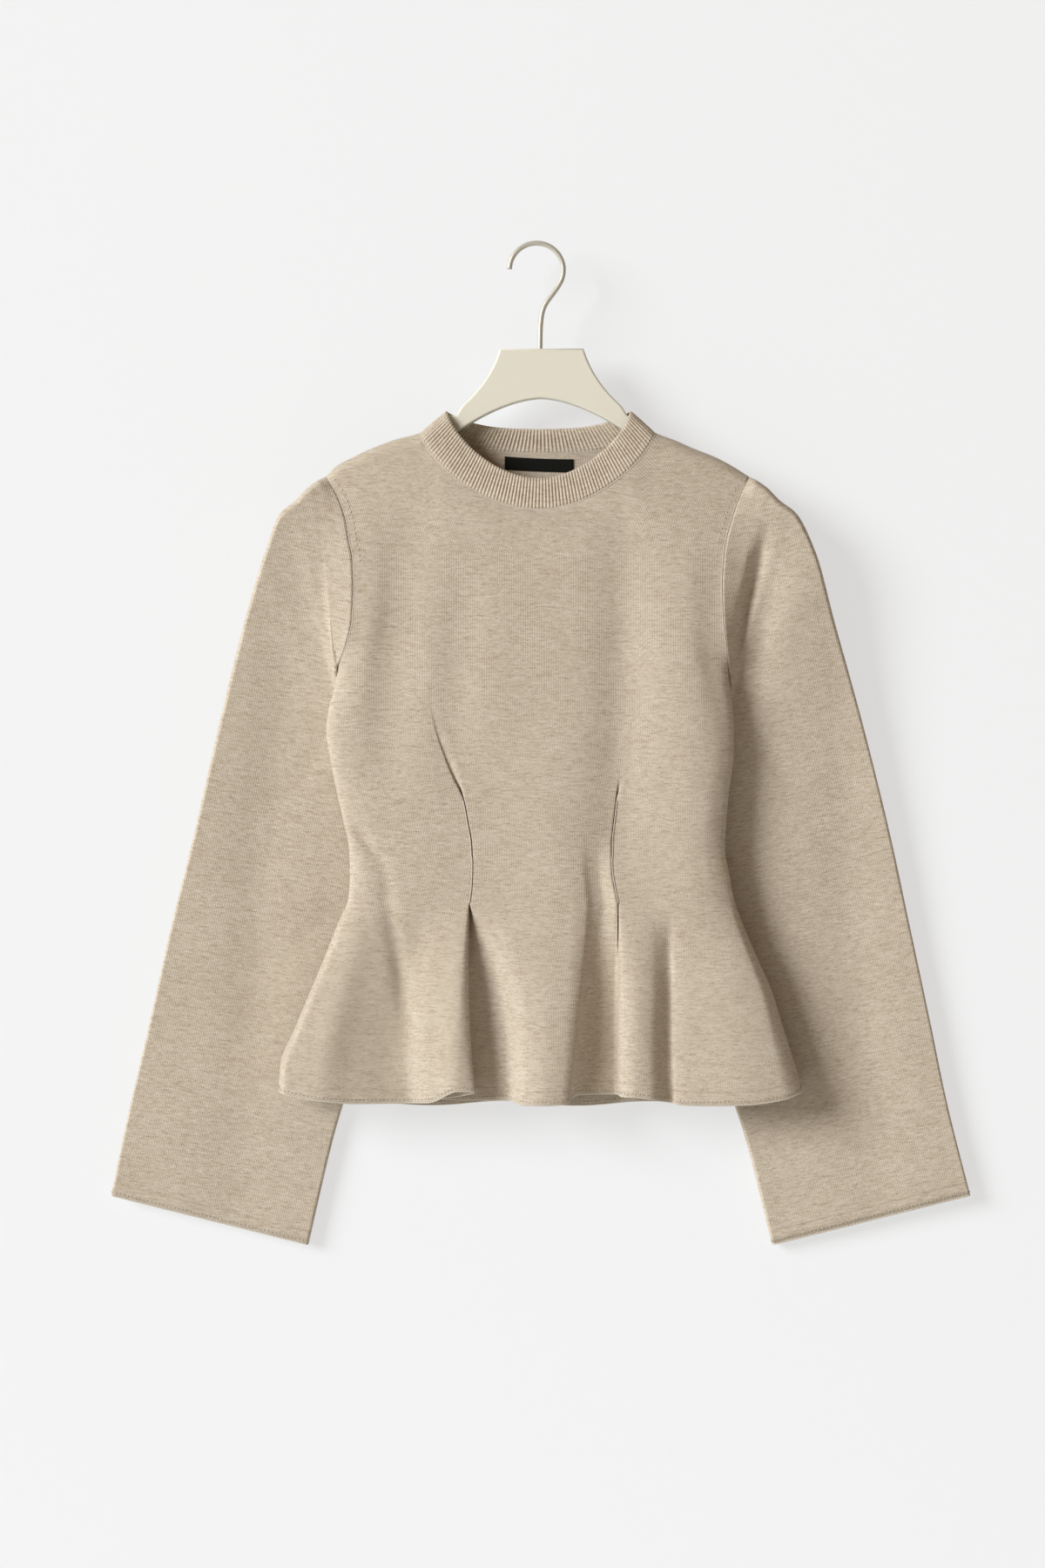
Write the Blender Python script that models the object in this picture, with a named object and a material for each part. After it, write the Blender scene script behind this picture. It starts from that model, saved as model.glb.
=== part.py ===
"""Knitted peplum top hanging flat on a moulded hanger with a wire hook.

Metres, +Z up. The origin is the point inside the hook where it rests, +X runs to the right of
the front view, and the front of the top faces -Y. Every cloth piece is a sheet that is shaped
on its outer face and then given its wall inwards.
"""

from collections import namedtuple

import bmesh
import bpy
import numpy as np

WALL = 0.0016
SEAM_GAP = 0.0003
SIDE_SEAM_Y = 0.002

# Shoulders: the cloth turns over the hanger with this radius, then leans out as it falls.
SHOULDER_ROUND = 0.0125
SHOULDER_LEAN = 0.12
DEPTH_BLEND = 0.0015
NORMAL_STEP = 0.00002

YOKE_Z = -0.265
UNDERARM_Z = -0.362
WAIST_Z = -0.559
MID_PEPLUM_Z = -0.620
YOKE_ROWS = (0.3, 0.55, 0.75, 0.88, 0.95, 0.985, 0.9994, 1.0)
CHEST_ROWS = (-0.541, -0.520, -0.495, -0.4706, -0.462, -0.450, -0.436, -0.4115, -0.385,
              UNDERARM_Z, -0.3575, -0.352, -0.346, -0.338, -0.316, -0.290, YOKE_Z)
PEPLUM_ROWS = (1.0, 0.94, 0.84, 0.68, 0.52, 0.36, 0.22, 0.11, 0.0)

Edge = namedtuple("Edge", "z left right")

# Side seams from the hem to the underarms, then the armhole seams up to the shoulder points.
BODY_EDGES = (
    Edge(-0.7165, -0.2220, 0.2230),
    Edge(-0.6940, -0.2200, 0.2160),
    Edge(-0.6640, -0.2075, 0.2065),
    Edge(-0.6350, -0.1955, 0.1975),
    Edge(-0.6050, -0.1830, 0.1845),
    Edge(-0.5760, -0.1715, 0.1720),
    Edge(-0.5540, -0.1625, 0.1645),
    Edge(-0.5350, -0.1612, 0.1610),
    Edge(-0.5130, -0.1620, 0.1572),
    Edge(-0.4870, -0.1672, 0.1584),
    Edge(-0.4570, -0.1739, 0.1613),
    Edge(-0.4350, -0.1780, 0.1643),
    Edge(-0.4130, -0.1813, 0.1647),
    Edge(-0.3915, -0.1787, 0.1632),
    Edge(-0.3770, -0.1745, 0.1613),
    Edge(UNDERARM_Z, -0.1720, 0.1596),
    Edge(-0.3400, -0.1640, 0.1576),
    Edge(-0.3200, -0.1591, 0.1550),
    Edge(-0.2900, -0.1576, 0.1539),
    Edge(-0.2670, -0.1584, 0.1550),
    Edge(-0.2520, -0.1613, 0.1572),
    Edge(-0.2340, -0.1643, 0.1621),
    Edge(-0.2130, -0.1717, 0.1695),
    Edge(-0.1965, -0.1820, 0.1776),
)

# Top line of the shoulders, from the neckband's upper edge out to the sleeve heads.
CREST = (
    Edge(-0.1428, -0.0792, 0.0770),
    Edge(-0.1590, -0.1014, 0.0977),
    Edge(-0.1650, -0.1228, 0.1132),
    Edge(-0.1724, -0.1428, 0.1302),
    Edge(-0.1798, -0.1584, 0.1487),
    Edge(-0.1872, -0.1724, 0.1628),
    Edge(-0.1965, -0.1820, 0.1776),
    Edge(-0.2057, -0.1968, 0.1924),
    Edge(-0.2168, -0.2072, 0.2035),
    Edge(-0.2279, -0.2205, 0.2176),
    Edge(-0.2612, -0.2335, 0.2342),
)

Depth = namedtuple("Depth", "z front back")

# How far the middle of each panel stands out from the hanger's plane.
BODY_DEPTHS = (
    Depth(-0.730, 0.0190, 0.0125),
    Depth(-0.559, 0.0170, 0.0110),
    Depth(-0.520, 0.0170, 0.0110),
    Depth(-0.450, 0.0190, 0.0120),
    Depth(-0.370, 0.0210, 0.0125),
    Depth(-0.265, 0.0200, 0.0120),
    Depth(-0.140, 0.0200, 0.0120),
)
SIDE_ROUNDING = 3.2
# Above the underarm the panels end at the armhole seams, well before they would round away.
ARMHOLE_CUT = 0.22
ARMHOLE_CUT_Z = -0.312

# Stitch lines of the two front tucks, and how they open into creases above the stitching.
TUCK_LINES = (
    Edge(-0.559, -0.0596, 0.0662),
    Edge(-0.545, -0.0577, 0.0632),
    Edge(-0.527, -0.0570, 0.0607),
    Edge(-0.508, -0.0577, 0.0605),
    Edge(-0.490, -0.0607, 0.0622),
    Edge(-0.4706, -0.0644, 0.0644),
    Edge(-0.4507, -0.0729, 0.0680),
    Edge(-0.4336, -0.0792, 0.0722),
    Edge(-0.4115, -0.0866, 0.0777),
    Edge(-0.385, -0.0920, 0.0820),
    Edge(-0.290, -0.0970, 0.0870),
)
Opening = namedtuple("Opening", "z depth half_width closed")
TUCK_OPENINGS = (
    Opening(-0.559, 0.0120, 0.0023, 1.0),
    Opening(-0.4706, 0.0120, 0.0023, 1.0),
    Opening(-0.4620, 0.0075, 0.0028, 0.4),
    Opening(-0.4500, 0.0048, 0.0042, 0.1),
    Opening(-0.4360, 0.0030, 0.0056, 0.0),
    Opening(-0.4115, 0.0010, 0.0058, 0.0),
    Opening(-0.3850, 0.0000, 0.0060, 0.0),
    Opening(-0.2900, 0.0000, 0.0050, 0.0),
)
TUCK_SLIT = 0.00035
TUCK_LIP = 0.16

Profile = namedtuple("Profile", "closed_x closed_y open_x open_y")

# Section across a tuck, closed by stitching and open as a crease. x is in slit half-widths
# when closed and in crease half-widths when open, and y is a share of the depth.
TUCK_PROFILE = (
    Profile(None, 0.0, -1.0, 0.0),
    Profile(-1, TUCK_LIP, -0.7, 0.25),
    Profile(-1, 0.9, -0.35, 0.75),
    Profile(0, 1.0, 0.0, 1.0),
    Profile(1, 0.9, 0.35, 0.75),
    Profile(1, TUCK_LIP, 0.7, 0.25),
    Profile(None, 0.0, 1.0, 0.0),
)

# A soft furrow left of the right tuck, which grows into the second valley of the peplum.
FURROW_AT = 0.88
FURROW_WIDTH = 0.075
FURROW_DEPTH = 0.006
FURROW_TOP_Z = -0.490

# Fold lines of the peplum. "at" is where the line leaves its panel at the waist, as a share of
# the panel's width; the rest is its place half-way down and at the hem.
Fold = namedtuple("Fold", "at mid_x mid_y hem_x hem_y hem_z")
LEFT_FOLDS = (
    Fold(0.000, -0.1900, 0.0020, -0.2220, 0.0020, -0.7165),
    Fold(0.012, -0.1890, -0.0040, -0.2205, -0.0040, -0.7172),
    Fold(0.060, -0.1840, -0.0115, -0.2130, -0.0110, -0.7190),
    Fold(0.200, -0.1660, -0.0175, -0.1880, -0.0180, -0.7245),
    Fold(0.420, -0.1370, -0.0195, -0.1550, -0.0205, -0.7270),
    Fold(0.650, -0.1080, -0.0225, -0.1250, -0.0240, -0.7270),
    Fold(0.850, -0.0840, -0.0250, -0.0990, -0.0285, -0.7262),
)
LEFT_TUCK_FOLDS = (
    Fold(0, -0.0665, -0.0270, -0.0690, -0.0335, -0.7158),
    Fold(1, -0.0605, -0.0225, -0.0545, -0.0300, -0.7168),
    Fold(2, -0.0640, -0.0165, -0.0690, -0.0225, -0.7205),
    Fold(3, -0.0660, -0.0100, -0.0845, -0.0140, -0.7232),
    Fold(4, -0.0595, -0.0065, -0.0670, -0.0065, -0.7250),
    Fold(5, -0.0480, -0.0080, -0.0440, -0.0075, -0.7250),
    Fold(6, -0.0370, -0.0150, -0.0280, -0.0150, -0.7245),
)
CENTRE_FOLDS = (
    Fold(0.09, -0.0280, -0.0215, -0.0198, -0.0240, -0.7262),
    Fold(0.20, -0.0160, -0.0255, -0.0125, -0.0305, -0.7275),
    Fold(0.45, 0.0050, -0.0265, 0.0030, -0.0335, -0.7275),
    Fold(0.68, 0.0240, -0.0255, 0.0165, -0.0315, -0.7270),
    Fold(0.78, 0.0345, -0.0215, 0.0238, -0.0265, -0.7255),
    Fold(0.84, 0.0390, -0.0145, 0.0268, -0.0165, -0.7225),
    Fold(0.90, 0.0465, -0.0078, 0.0360, -0.0070, -0.7200),
    Fold(0.96, 0.0550, -0.0080, 0.0490, -0.0055, -0.7200),
)
RIGHT_TUCK_FOLDS = (
    Fold(0, 0.0605, -0.0110, 0.0595, -0.0078, -0.7203),
    Fold(1, 0.0635, -0.0125, 0.0627, -0.0105, -0.7203),
    Fold(2, 0.0655, -0.0135, 0.0652, -0.0140, -0.7204),
    Fold(3, 0.0670, -0.0145, 0.0670, -0.0175, -0.7205),
    Fold(4, 0.0683, -0.0165, 0.0685, -0.0205, -0.7206),
    Fold(5, 0.0700, -0.0195, 0.0700, -0.0235, -0.7208),
    Fold(6, 0.0725, -0.0225, 0.0725, -0.0268, -0.7208),
)
RIGHT_FOLDS = (
    Fold(0.12, 0.0815, -0.0255, 0.0805, -0.0300, -0.7210),
    Fold(0.28, 0.0955, -0.0245, 0.0930, -0.0300, -0.7225),
    Fold(0.40, 0.1040, -0.0205, 0.1015, -0.0265, -0.7245),
    Fold(0.46, 0.1095, -0.0175, 0.1070, -0.0205, -0.7262),
    Fold(0.53, 0.1155, -0.0195, 0.1140, -0.0240, -0.7275),
    Fold(0.68, 0.1330, -0.0205, 0.1380, -0.0250, -0.7285),
    Fold(0.84, 0.1600, -0.0195, 0.1740, -0.0215, -0.7278),
    Fold(0.94, 0.1830, -0.0140, 0.2060, -0.0135, -0.7235),
    Fold(0.985, 0.1900, -0.0060, 0.2208, -0.0050, -0.7180),
    Fold(1.000, 0.1917, 0.0020, 0.2230, 0.0020, -0.7165),
)

# Back panel
BACK_COLUMNS = (0.0, 0.006, 0.03, 0.075, 0.12, 0.16, 0.20, 0.24, 0.28, 0.325, 0.37, 0.415, 0.46)
BACK_WAVES = 3.5
BACK_WAVE_DEPTH = 0.0035
BACK_HEM_DROP = 0.0125
BACK_HEM_SWING = 0.0025

# Neckband: the seam that joins it to the panels, and its own upper edge.
Loop = namedtuple("Loop", "left right shoulder_z front_drop back_drop")
NECK_SEAM = Loop(-0.1014, 0.0977, -0.1590, 0.0666, 0.0163)
NECK_TOP = Loop(-0.0792, 0.0770, -0.1428, 0.0562, 0.0118)
NECK_FRONT_BELLY = 1.85
NECK_FRONT_FULLNESS = 0.72
NECK_BACK_FLATNESS = 3.0
NECK_SAMPLES = 400
# Columns of a panel that end on each shoulder, and how far the rest crowd to the neck's ends.
FRONT_SHOULDER_COLUMNS = 6
BACK_SHOULDER_COLUMNS = 6
NECK_CROWDING = 0.6
FRONT_RIBS = 88
BACK_RIBS = 62
RIB_RELIEF = 0.0006

# Label on the inside of the back panel
LABEL_LEFT = -0.0300
LABEL_RIGHT = 0.0285
LABEL_TOP_Z = -0.1815
LABEL_HEIGHT = 0.0118
LABEL_THICKNESS = 0.0006
LABEL_COLUMNS = 9

# Sleeves. Each station is a line across the flat tube, from the outer fold to the inner fold.
Station = namedtuple(
    "Station", "outer_left outer_right outer_z inner_left inner_right inner_z outer_y inner_y half")
SLEEVE_STATIONS = (
    Station(-0.1880, 0.1835, -0.1994, -0.1732, 0.1606, -0.3656, 0.000, 0.003, 0.0100),
    Station(-0.1968, 0.1924, -0.2057, -0.1742, 0.1612, -0.3715, 0.000, 0.007, 0.0100),
    Station(-0.2072, 0.2035, -0.2168, -0.1742, 0.1607, -0.3789, 0.000, 0.012, 0.0100),
    Station(-0.2205, 0.2176, -0.2279, -0.1765, 0.1608, -0.3892, 0.001, 0.016, 0.0100),
    Station(-0.2335, 0.2342, -0.2612, -0.1746, 0.1584, -0.4092, 0.003, 0.019, 0.0100),
    Station(-0.2516, 0.2509, -0.3204, -0.1613, 0.1421, -0.4388, 0.008, 0.021, 0.0095),
    Station(-0.2734, 0.2753, -0.4055, -0.1480, 0.1310, -0.4832, 0.015, 0.022, 0.0090),
    Station(-0.2960, 0.2997, -0.5017, -0.1413, 0.1295, -0.5461, 0.020, 0.023, 0.0080),
    Station(-0.3164, 0.3175, -0.5831, -0.1443, 0.1376, -0.6164, 0.023, 0.024, 0.0075),
    Station(-0.3330, 0.3334, -0.6571, -0.1547, 0.1510, -0.6830, 0.025, 0.025, 0.0070),
    Station(-0.3504, 0.3489, -0.7311, -0.1769, 0.1761, -0.7607, 0.026, 0.026, 0.0070),
    Station(-0.3670, 0.3685, -0.8088, -0.1983, 0.1991, -0.8517, 0.026, 0.026, 0.0075),
)
SLEEVE_ACROSS = (0.0, 0.001, 0.008, 0.025, 0.06, 0.15, 0.28, 0.42, 0.55, 0.68, 0.79, 0.87, 0.93,
                 0.97, 0.99, 1.0)
# Share of the hanging sleeve in the first stations, where the front still follows the armhole.
SLEEVE_RELEASE = (0.06, 0.45, 0.95)
FOLDS_BACK_Z = -0.352
RUNS_ON_Z = -0.334
SLEEVE_FOLD_REACH = 0.0060
SLEEVE_FOLD_START = 0.35
SLEEVE_FOLD_FULL = 0.78
SLEEVE_FOLD_END = 0.92

# Hanger
HANGER_X = 0.0015
HANGER_HALF_THICKNESS = 0.0050
HANGER_BEVEL = 0.0032
HANGER_SEAT = 0.0032
ARM_HEIGHT = 0.0170
HANGER_TIP_X = 0.2095
PLATE_TOP_Z = -0.0888
PLATE_TOP_HALF = 0.0355
PLATE_EDGE = ((0.0395, -0.0985), (0.0460, -0.1110), (0.0570, -0.1258), (0.0688, -0.1380),
              (0.0725, -0.1445))
ARCH_TOP_Z = -0.1302
ARCH_HALF = 0.0690
ARCH_FOOT_Z = -0.1569
ARCH_FLATNESS = 1.7
ARCH_STEPS = 12
ARM_STEPS = 12

# Hook
HOOK_RADIUS = 0.0229
HOOK_WIRE = 0.0022
HOOK_CENTRE_X = -0.0030
HOOK_STEM_X = 0.0
HOOK_TIP_ANGLE = 178
HOOK_END_ANGLE = -32
HOOK_STEPS = 14

OATMEAL = (0.52, 0.45, 0.36, 1.0)
CREAM = (0.77, 0.73, 0.62, 1.0)
HOOK_GREY = (0.58, 0.56, 0.50, 1.0)
BLACK = (0.012, 0.013, 0.011, 1.0)


def clear_scene():
    for thing in list(bpy.data.objects):
        bpy.data.objects.remove(thing, do_unlink=True)


def finish(name, colour, roughness, metallic):
    material = bpy.data.materials.new(name)
    material.use_nodes = True
    shader = material.node_tree.nodes["Principled BSDF"]
    shader.inputs["Base Color"].default_value = colour
    shader.inputs["Roughness"].default_value = roughness
    shader.inputs["Metallic"].default_value = metallic
    return material


def smooth(at, xs, ys):
    """A curve through table columns that never overshoots between two rows."""
    xs = np.asarray(xs, float)
    ys = np.asarray(ys, float)
    order = np.argsort(xs)
    xs = xs[order]
    ys = ys[order]
    width = np.diff(xs)
    slope = np.diff(ys) / width
    product = slope[:-1] * slope[1:]
    total = np.where(product > 0, slope[:-1] + slope[1:], 1.0)
    inner = np.where(product > 0, 2 * product / total, 0.0)
    tangent = np.concatenate([slope[:1], inner, slope[-1:]])
    at = np.asarray(at, float)
    row = np.clip(np.searchsorted(xs, at, side="right") - 1, 0, len(width) - 1)
    t = np.clip((at - xs[row]) / width[row], 0, 1)
    start = (1 + 2 * t) * (1 - t) ** 2 * ys[row] + t * (1 - t) ** 2 * width[row] * tangent[row]
    end = t**2 * (3 - 2 * t) * ys[row + 1] - t**2 * (1 - t) * width[row] * tangent[row + 1]
    return start + end


def column(table, name):
    return [getattr(row, name) for row in table]


def read(table, name, z):
    return smooth(z, column(table, "z"), column(table, name))


def ease(low, high, value):
    t = np.clip((np.asarray(value, float) - low) / (high - low), 0, 1)
    return t * t * (3 - 2 * t)


def unit(vectors):
    return vectors / np.maximum(np.linalg.norm(vectors, axis=-1, keepdims=True), 1e-12)


def crest_height(x):
    left = smooth(-x, [-row.left for row in CREST], column(CREST, "z"))
    right = smooth(x, column(CREST, "right"), column(CREST, "z"))
    return np.where(np.asarray(x) < 0, left, right)


def hang_depth(x, z):
    """Distance from the hanger's plane of cloth that turns over the shoulder and falls."""
    drop = np.maximum(crest_height(x) - z, 0)
    turn = np.minimum(drop, SHOULDER_ROUND)
    round_part = np.sqrt(2 * SHOULDER_ROUND * turn - turn**2)
    return round_part + np.maximum(drop - SHOULDER_ROUND, 0) * SHOULDER_LEAN


def panel_y(x, z, side):
    """Outer face of the front (side -1) or back (side 1), without its folds."""
    name = "front" if side < 0 else "back"
    hang = hang_depth(x, z)
    body = read(BODY_DEPTHS, name, z)
    depth = -DEPTH_BLEND * np.logaddexp(-hang / DEPTH_BLEND, -body / DEPTH_BLEND)
    depth = np.maximum(depth, 0)
    left = read(BODY_EDGES, "left", z)
    right = read(BODY_EDGES, "right", z)
    across = np.clip(2 * (x - left) / (right - left) - 1, -1, 1)
    above = ease(UNDERARM_Z, ARMHOLE_CUT_Z, z)
    across = np.abs(across) * (1 - ARMHOLE_CUT * above)
    share = (1 - across**SIDE_ROUNDING) ** (1 / SIDE_ROUNDING)
    return side * (SEAM_GAP / 2 + depth * share) + SIDE_SEAM_Y * (1 - share) * (1 - above)


def panel_normal(x, z, side):
    """Direction out of a panel's outer face, also at its seams, where the face turns over."""
    left = read(BODY_EDGES, "left", z)
    right = read(BODY_EDGES, "right", z)
    inside_x = np.clip(x, left + 2 * NORMAL_STEP, right - 2 * NORMAL_STEP)
    inside_z = np.minimum(z, crest_height(inside_x) - 2 * NORMAL_STEP)
    ahead = panel_y(inside_x + NORMAL_STEP, inside_z, side)
    behind = panel_y(inside_x - NORMAL_STEP, inside_z, side)
    over = panel_y(inside_x, inside_z + NORMAL_STEP, side)
    under = panel_y(inside_x, inside_z - NORMAL_STEP, side)
    out = np.stack([-side * (ahead - behind), np.full(len(x), side * 2 * NORMAL_STEP),
                    -side * (over - under)], axis=1)
    fall = crest_height(x + NORMAL_STEP) - crest_height(x - NORMAL_STEP)
    turned = np.stack([-fall, 0 * fall, 0 * fall + 2 * NORMAL_STEP], axis=1)
    at_crest = crest_height(x) - z < NORMAL_STEP
    out[at_crest] = turned[at_crest]
    out[z < UNDERARM_Z + NORMAL_STEP, 1] = 0
    return unit(out)


def neck_half(loop, drop, belly, fullness, steps):
    """Half of a neck loop from the left shoulder to the right one, as x and z."""
    across = -np.cos(np.linspace(0, np.pi, steps))
    middle = (loop.left + loop.right) / 2
    half = (loop.right - loop.left) / 2
    z = loop.shoulder_z - drop * (1 - np.abs(across) ** belly) ** fullness
    return middle + half * across, z


def front_neck(loop):
    return neck_half(loop, loop.front_drop, NECK_FRONT_BELLY, NECK_FRONT_FULLNESS, NECK_SAMPLES)


def back_neck(loop):
    return neck_half(loop, loop.back_drop, NECK_BACK_FLATNESS, 1.0, NECK_SAMPLES)


def along(points, shares):
    """Points at these shares of a polyline's length, with any further columns they carry."""
    steps = np.linalg.norm(np.diff(points[:, :3], axis=0), axis=1)
    length = np.concatenate([[0], np.cumsum(steps)])
    return np.stack([np.interp(shares, length / length[-1], c) for c in points.T], axis=1)


def shoulder_line(side, steps):
    inner = NECK_SEAM.left if side < 0 else NECK_SEAM.right
    outer = BODY_EDGES[-1].left if side < 0 else BODY_EDGES[-1].right
    x = np.linspace(outer, inner, steps)
    return np.stack([x, crest_height(x)], axis=1)


def top_edge(count, neck, on_shoulder):
    """Top ends of a panel's columns: left shoulder, neckline, right shoulder.

    The neckline's columns stand closer where it turns over the shoulders.
    """
    even = np.linspace(0, 1, count - 2 * on_shoulder)
    crowded = even - NECK_CROWDING * np.sin(2 * np.pi * even) / (2 * np.pi)
    up = np.arange(on_shoulder) / on_shoulder
    left = along(shoulder_line(-1, 40), up)
    middle = along(np.stack(neck, axis=1), crowded)
    right = along(shoulder_line(1, 40), up[::-1])
    return np.concatenate([left, middle, right])


def across_body(shares, z):
    left = read(BODY_EDGES, "left", z)
    right = read(BODY_EDGES, "right", z)
    return left + shares * (right - left)


def upper_rows(shares, neck, on_shoulder):
    """x and z of the rows from the yoke to the top edge, for columns at these shares."""
    top = top_edge(len(shares), neck, on_shoulder)
    shift = top[:, 0] - across_body(shares, top[:, 1])
    rows = []
    for rise in YOKE_ROWS:
        z = YOKE_Z + rise * (top[:, 1] - YOKE_Z)
        rows.append((across_body(shares, z) + rise**2 * shift, z))
    return rows


def tuck_section(z, side):
    """Seven places across a tuck at height z: x, and how far each lies behind the panel."""
    line = read(TUCK_LINES, "left" if side < 0 else "right", z)
    depth = read(TUCK_OPENINGS, "depth", z)
    half = read(TUCK_OPENINGS, "half_width", z)
    closed = read(TUCK_OPENINGS, "closed", z)
    places = []
    for number, row in enumerate(TUCK_PROFILE):
        closed_x = row.closed_x * TUCK_SLIT if row.closed_x is not None else np.sign(row.open_x) * half
        x = closed * closed_x + (1 - closed) * row.open_x * half
        y = depth * (closed * row.closed_y + (1 - closed) * row.open_y)
        places.append((line + x, y))
    return places


def front_row(z):
    """x and y of every front column on one level row between the waist and the yoke."""
    left = float(read(BODY_EDGES, "left", z))
    right = float(read(BODY_EDGES, "right", z))
    tucks = [tuck_section(z, side) for side in (-1, 1)]
    first = float(read(TUCK_LINES, "left", z))
    second = float(read(TUCK_LINES, "right", z))
    xs = [left + fold.at * (first - left) for fold in LEFT_FOLDS]
    xs += [x for x, behind in tucks[0]]
    xs += [first + fold.at * (second - first) for fold in CENTRE_FOLDS]
    xs += [x for x, behind in tucks[1]]
    xs += [second + fold.at * (right - second) for fold in RIGHT_FOLDS]
    behind = [0.0] * len(LEFT_FOLDS)
    behind += [back for x, back in tucks[0]]
    furrow = FURROW_DEPTH * ease(FURROW_TOP_Z, WAIST_Z, z)
    behind += [furrow * np.exp(-((fold.at - FURROW_AT) / FURROW_WIDTH) ** 2) for fold in CENTRE_FOLDS]
    behind += [back for x, back in tucks[1]]
    behind += [0.0] * len(RIGHT_FOLDS)
    xs = np.array(xs, float)
    return xs, panel_y(xs, z, -1) + np.array(behind, float)


def front_rows():
    """Outer face of the front panel, row by row from the hem up, as an array of points."""
    folds = LEFT_FOLDS + LEFT_TUCK_FOLDS + CENTRE_FOLDS + RIGHT_TUCK_FOLDS + RIGHT_FOLDS
    waist_x, waist_y = front_row(WAIST_Z)
    mid = np.array([(fold.mid_x, fold.mid_y) for fold in folds])
    hem = np.array([(fold.hem_x, fold.hem_y) for fold in folds])
    hem_z = np.array(column(folds, "hem_z"))
    waist = np.stack([waist_x, waist_y], axis=1)
    share = (WAIST_Z - MID_PEPLUM_Z) / (WAIST_Z - hem_z.mean())
    across = (waist_x - waist_x[0]) / (waist_x[-1] - waist_x[0])
    rows = []
    for s in PEPLUM_ROWS:
        at_waist = (s - share) * (s - 1) / share
        at_mid = s * (s - 1) / (share * (share - 1))
        at_hem = s * (s - share) / (1 - share)
        place = at_waist * waist + at_mid * mid + at_hem * hem
        z = WAIST_Z + s * (hem_z - WAIST_Z)
        left_error = read(BODY_EDGES, "left", z[0]) - place[0, 0]
        right_error = read(BODY_EDGES, "right", z[-1]) - place[-1, 0]
        place[:, 0] += left_error * np.maximum(1 - 3 * across, 0)
        place[:, 0] += right_error * np.maximum(3 * across - 2, 0)
        rows.append(np.stack([place[:, 0], place[:, 1], z], axis=1))
    for level in CHEST_ROWS:
        x, y = front_row(level)
        rows.append(np.stack([x, y, np.full(len(x), level)], axis=1))
    shares = chest_shares()
    for x, z in upper_rows(shares, front_neck(NECK_SEAM), FRONT_SHOULDER_COLUMNS):
        rows.append(np.stack([x, panel_y(x, z, -1), z], axis=1))
    return np.array(rows)


def chest_shares():
    x, y = front_row(YOKE_Z)
    return (x - x[0]) / (x[-1] - x[0])


def back_rows():
    """Outer face of the back panel, row by row from the hem up."""
    half = list(BACK_COLUMNS)
    shares = np.array(half + [0.5] + [1 - share for share in reversed(half)])
    middle = np.sin(np.pi * shares)
    wave = np.cos(2 * np.pi * BACK_WAVES * shares)
    drop = BACK_HEM_DROP * ease(0, 0.2, np.minimum(shares, 1 - shares)) + BACK_HEM_SWING * middle * wave
    hem_z = BODY_EDGES[0].z - drop
    rows = []
    for s in PEPLUM_ROWS:
        z = WAIST_Z + s * (hem_z - WAIST_Z)
        edge_z = WAIST_Z + s * (BODY_EDGES[0].z - WAIST_Z)
        left = float(read(BODY_EDGES, "left", edge_z))
        right = float(read(BODY_EDGES, "right", edge_z))
        x = left + shares * (right - left)
        y = panel_y(x, np.full(len(x), edge_z), 1) + BACK_WAVE_DEPTH * s * wave * middle**0.5
        rows.append(np.stack([x, y, z], axis=1))
    for level in CHEST_ROWS:
        left = float(read(BODY_EDGES, "left", level))
        right = float(read(BODY_EDGES, "right", level))
        x = left + shares * (right - left)
        rows.append(np.stack([x, panel_y(x, level, 1), np.full(len(x), level)], axis=1))
    for x, z in upper_rows(shares, back_neck(NECK_SEAM), BACK_SHOULDER_COLUMNS):
        rows.append(np.stack([x, panel_y(x, z, 1), z], axis=1))
    return np.array(rows)


def armhole(side, face):
    """Armhole edge of the front (face -1) or back (face 1), from the shoulder to the underarm."""
    name = "left" if side < 0 else "right"
    levels = [YOKE_Z + rise * (BODY_EDGES[-1].z - YOKE_Z) for rise in reversed(YOKE_ROWS)]
    levels += [level for level in reversed(CHEST_ROWS) if level >= UNDERARM_Z]
    z = np.array(levels)
    x = read(BODY_EDGES, name, z)
    return np.stack([x, panel_y(x, z, face), z], axis=1)


def flat_tube(station, side, across, face):
    """One face of a sleeve's section, from its outer fold to its inner fold."""
    name = "left" if side < 0 else "right"
    outer = np.array([getattr(station, "outer_" + name), station.outer_y, station.outer_z])
    inner = np.array([getattr(station, "inner_" + name), station.inner_y, station.inner_z])
    width = np.linalg.norm(inner - outer)
    from_fold = np.minimum(across, 1 - across) * width
    turn = np.minimum(from_fold / station.half, 1)
    points = outer + across[:, None] * (inner - outer)
    points[:, 1] += face * station.half * np.sqrt(1 - (1 - turn) ** 2)
    return points


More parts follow.
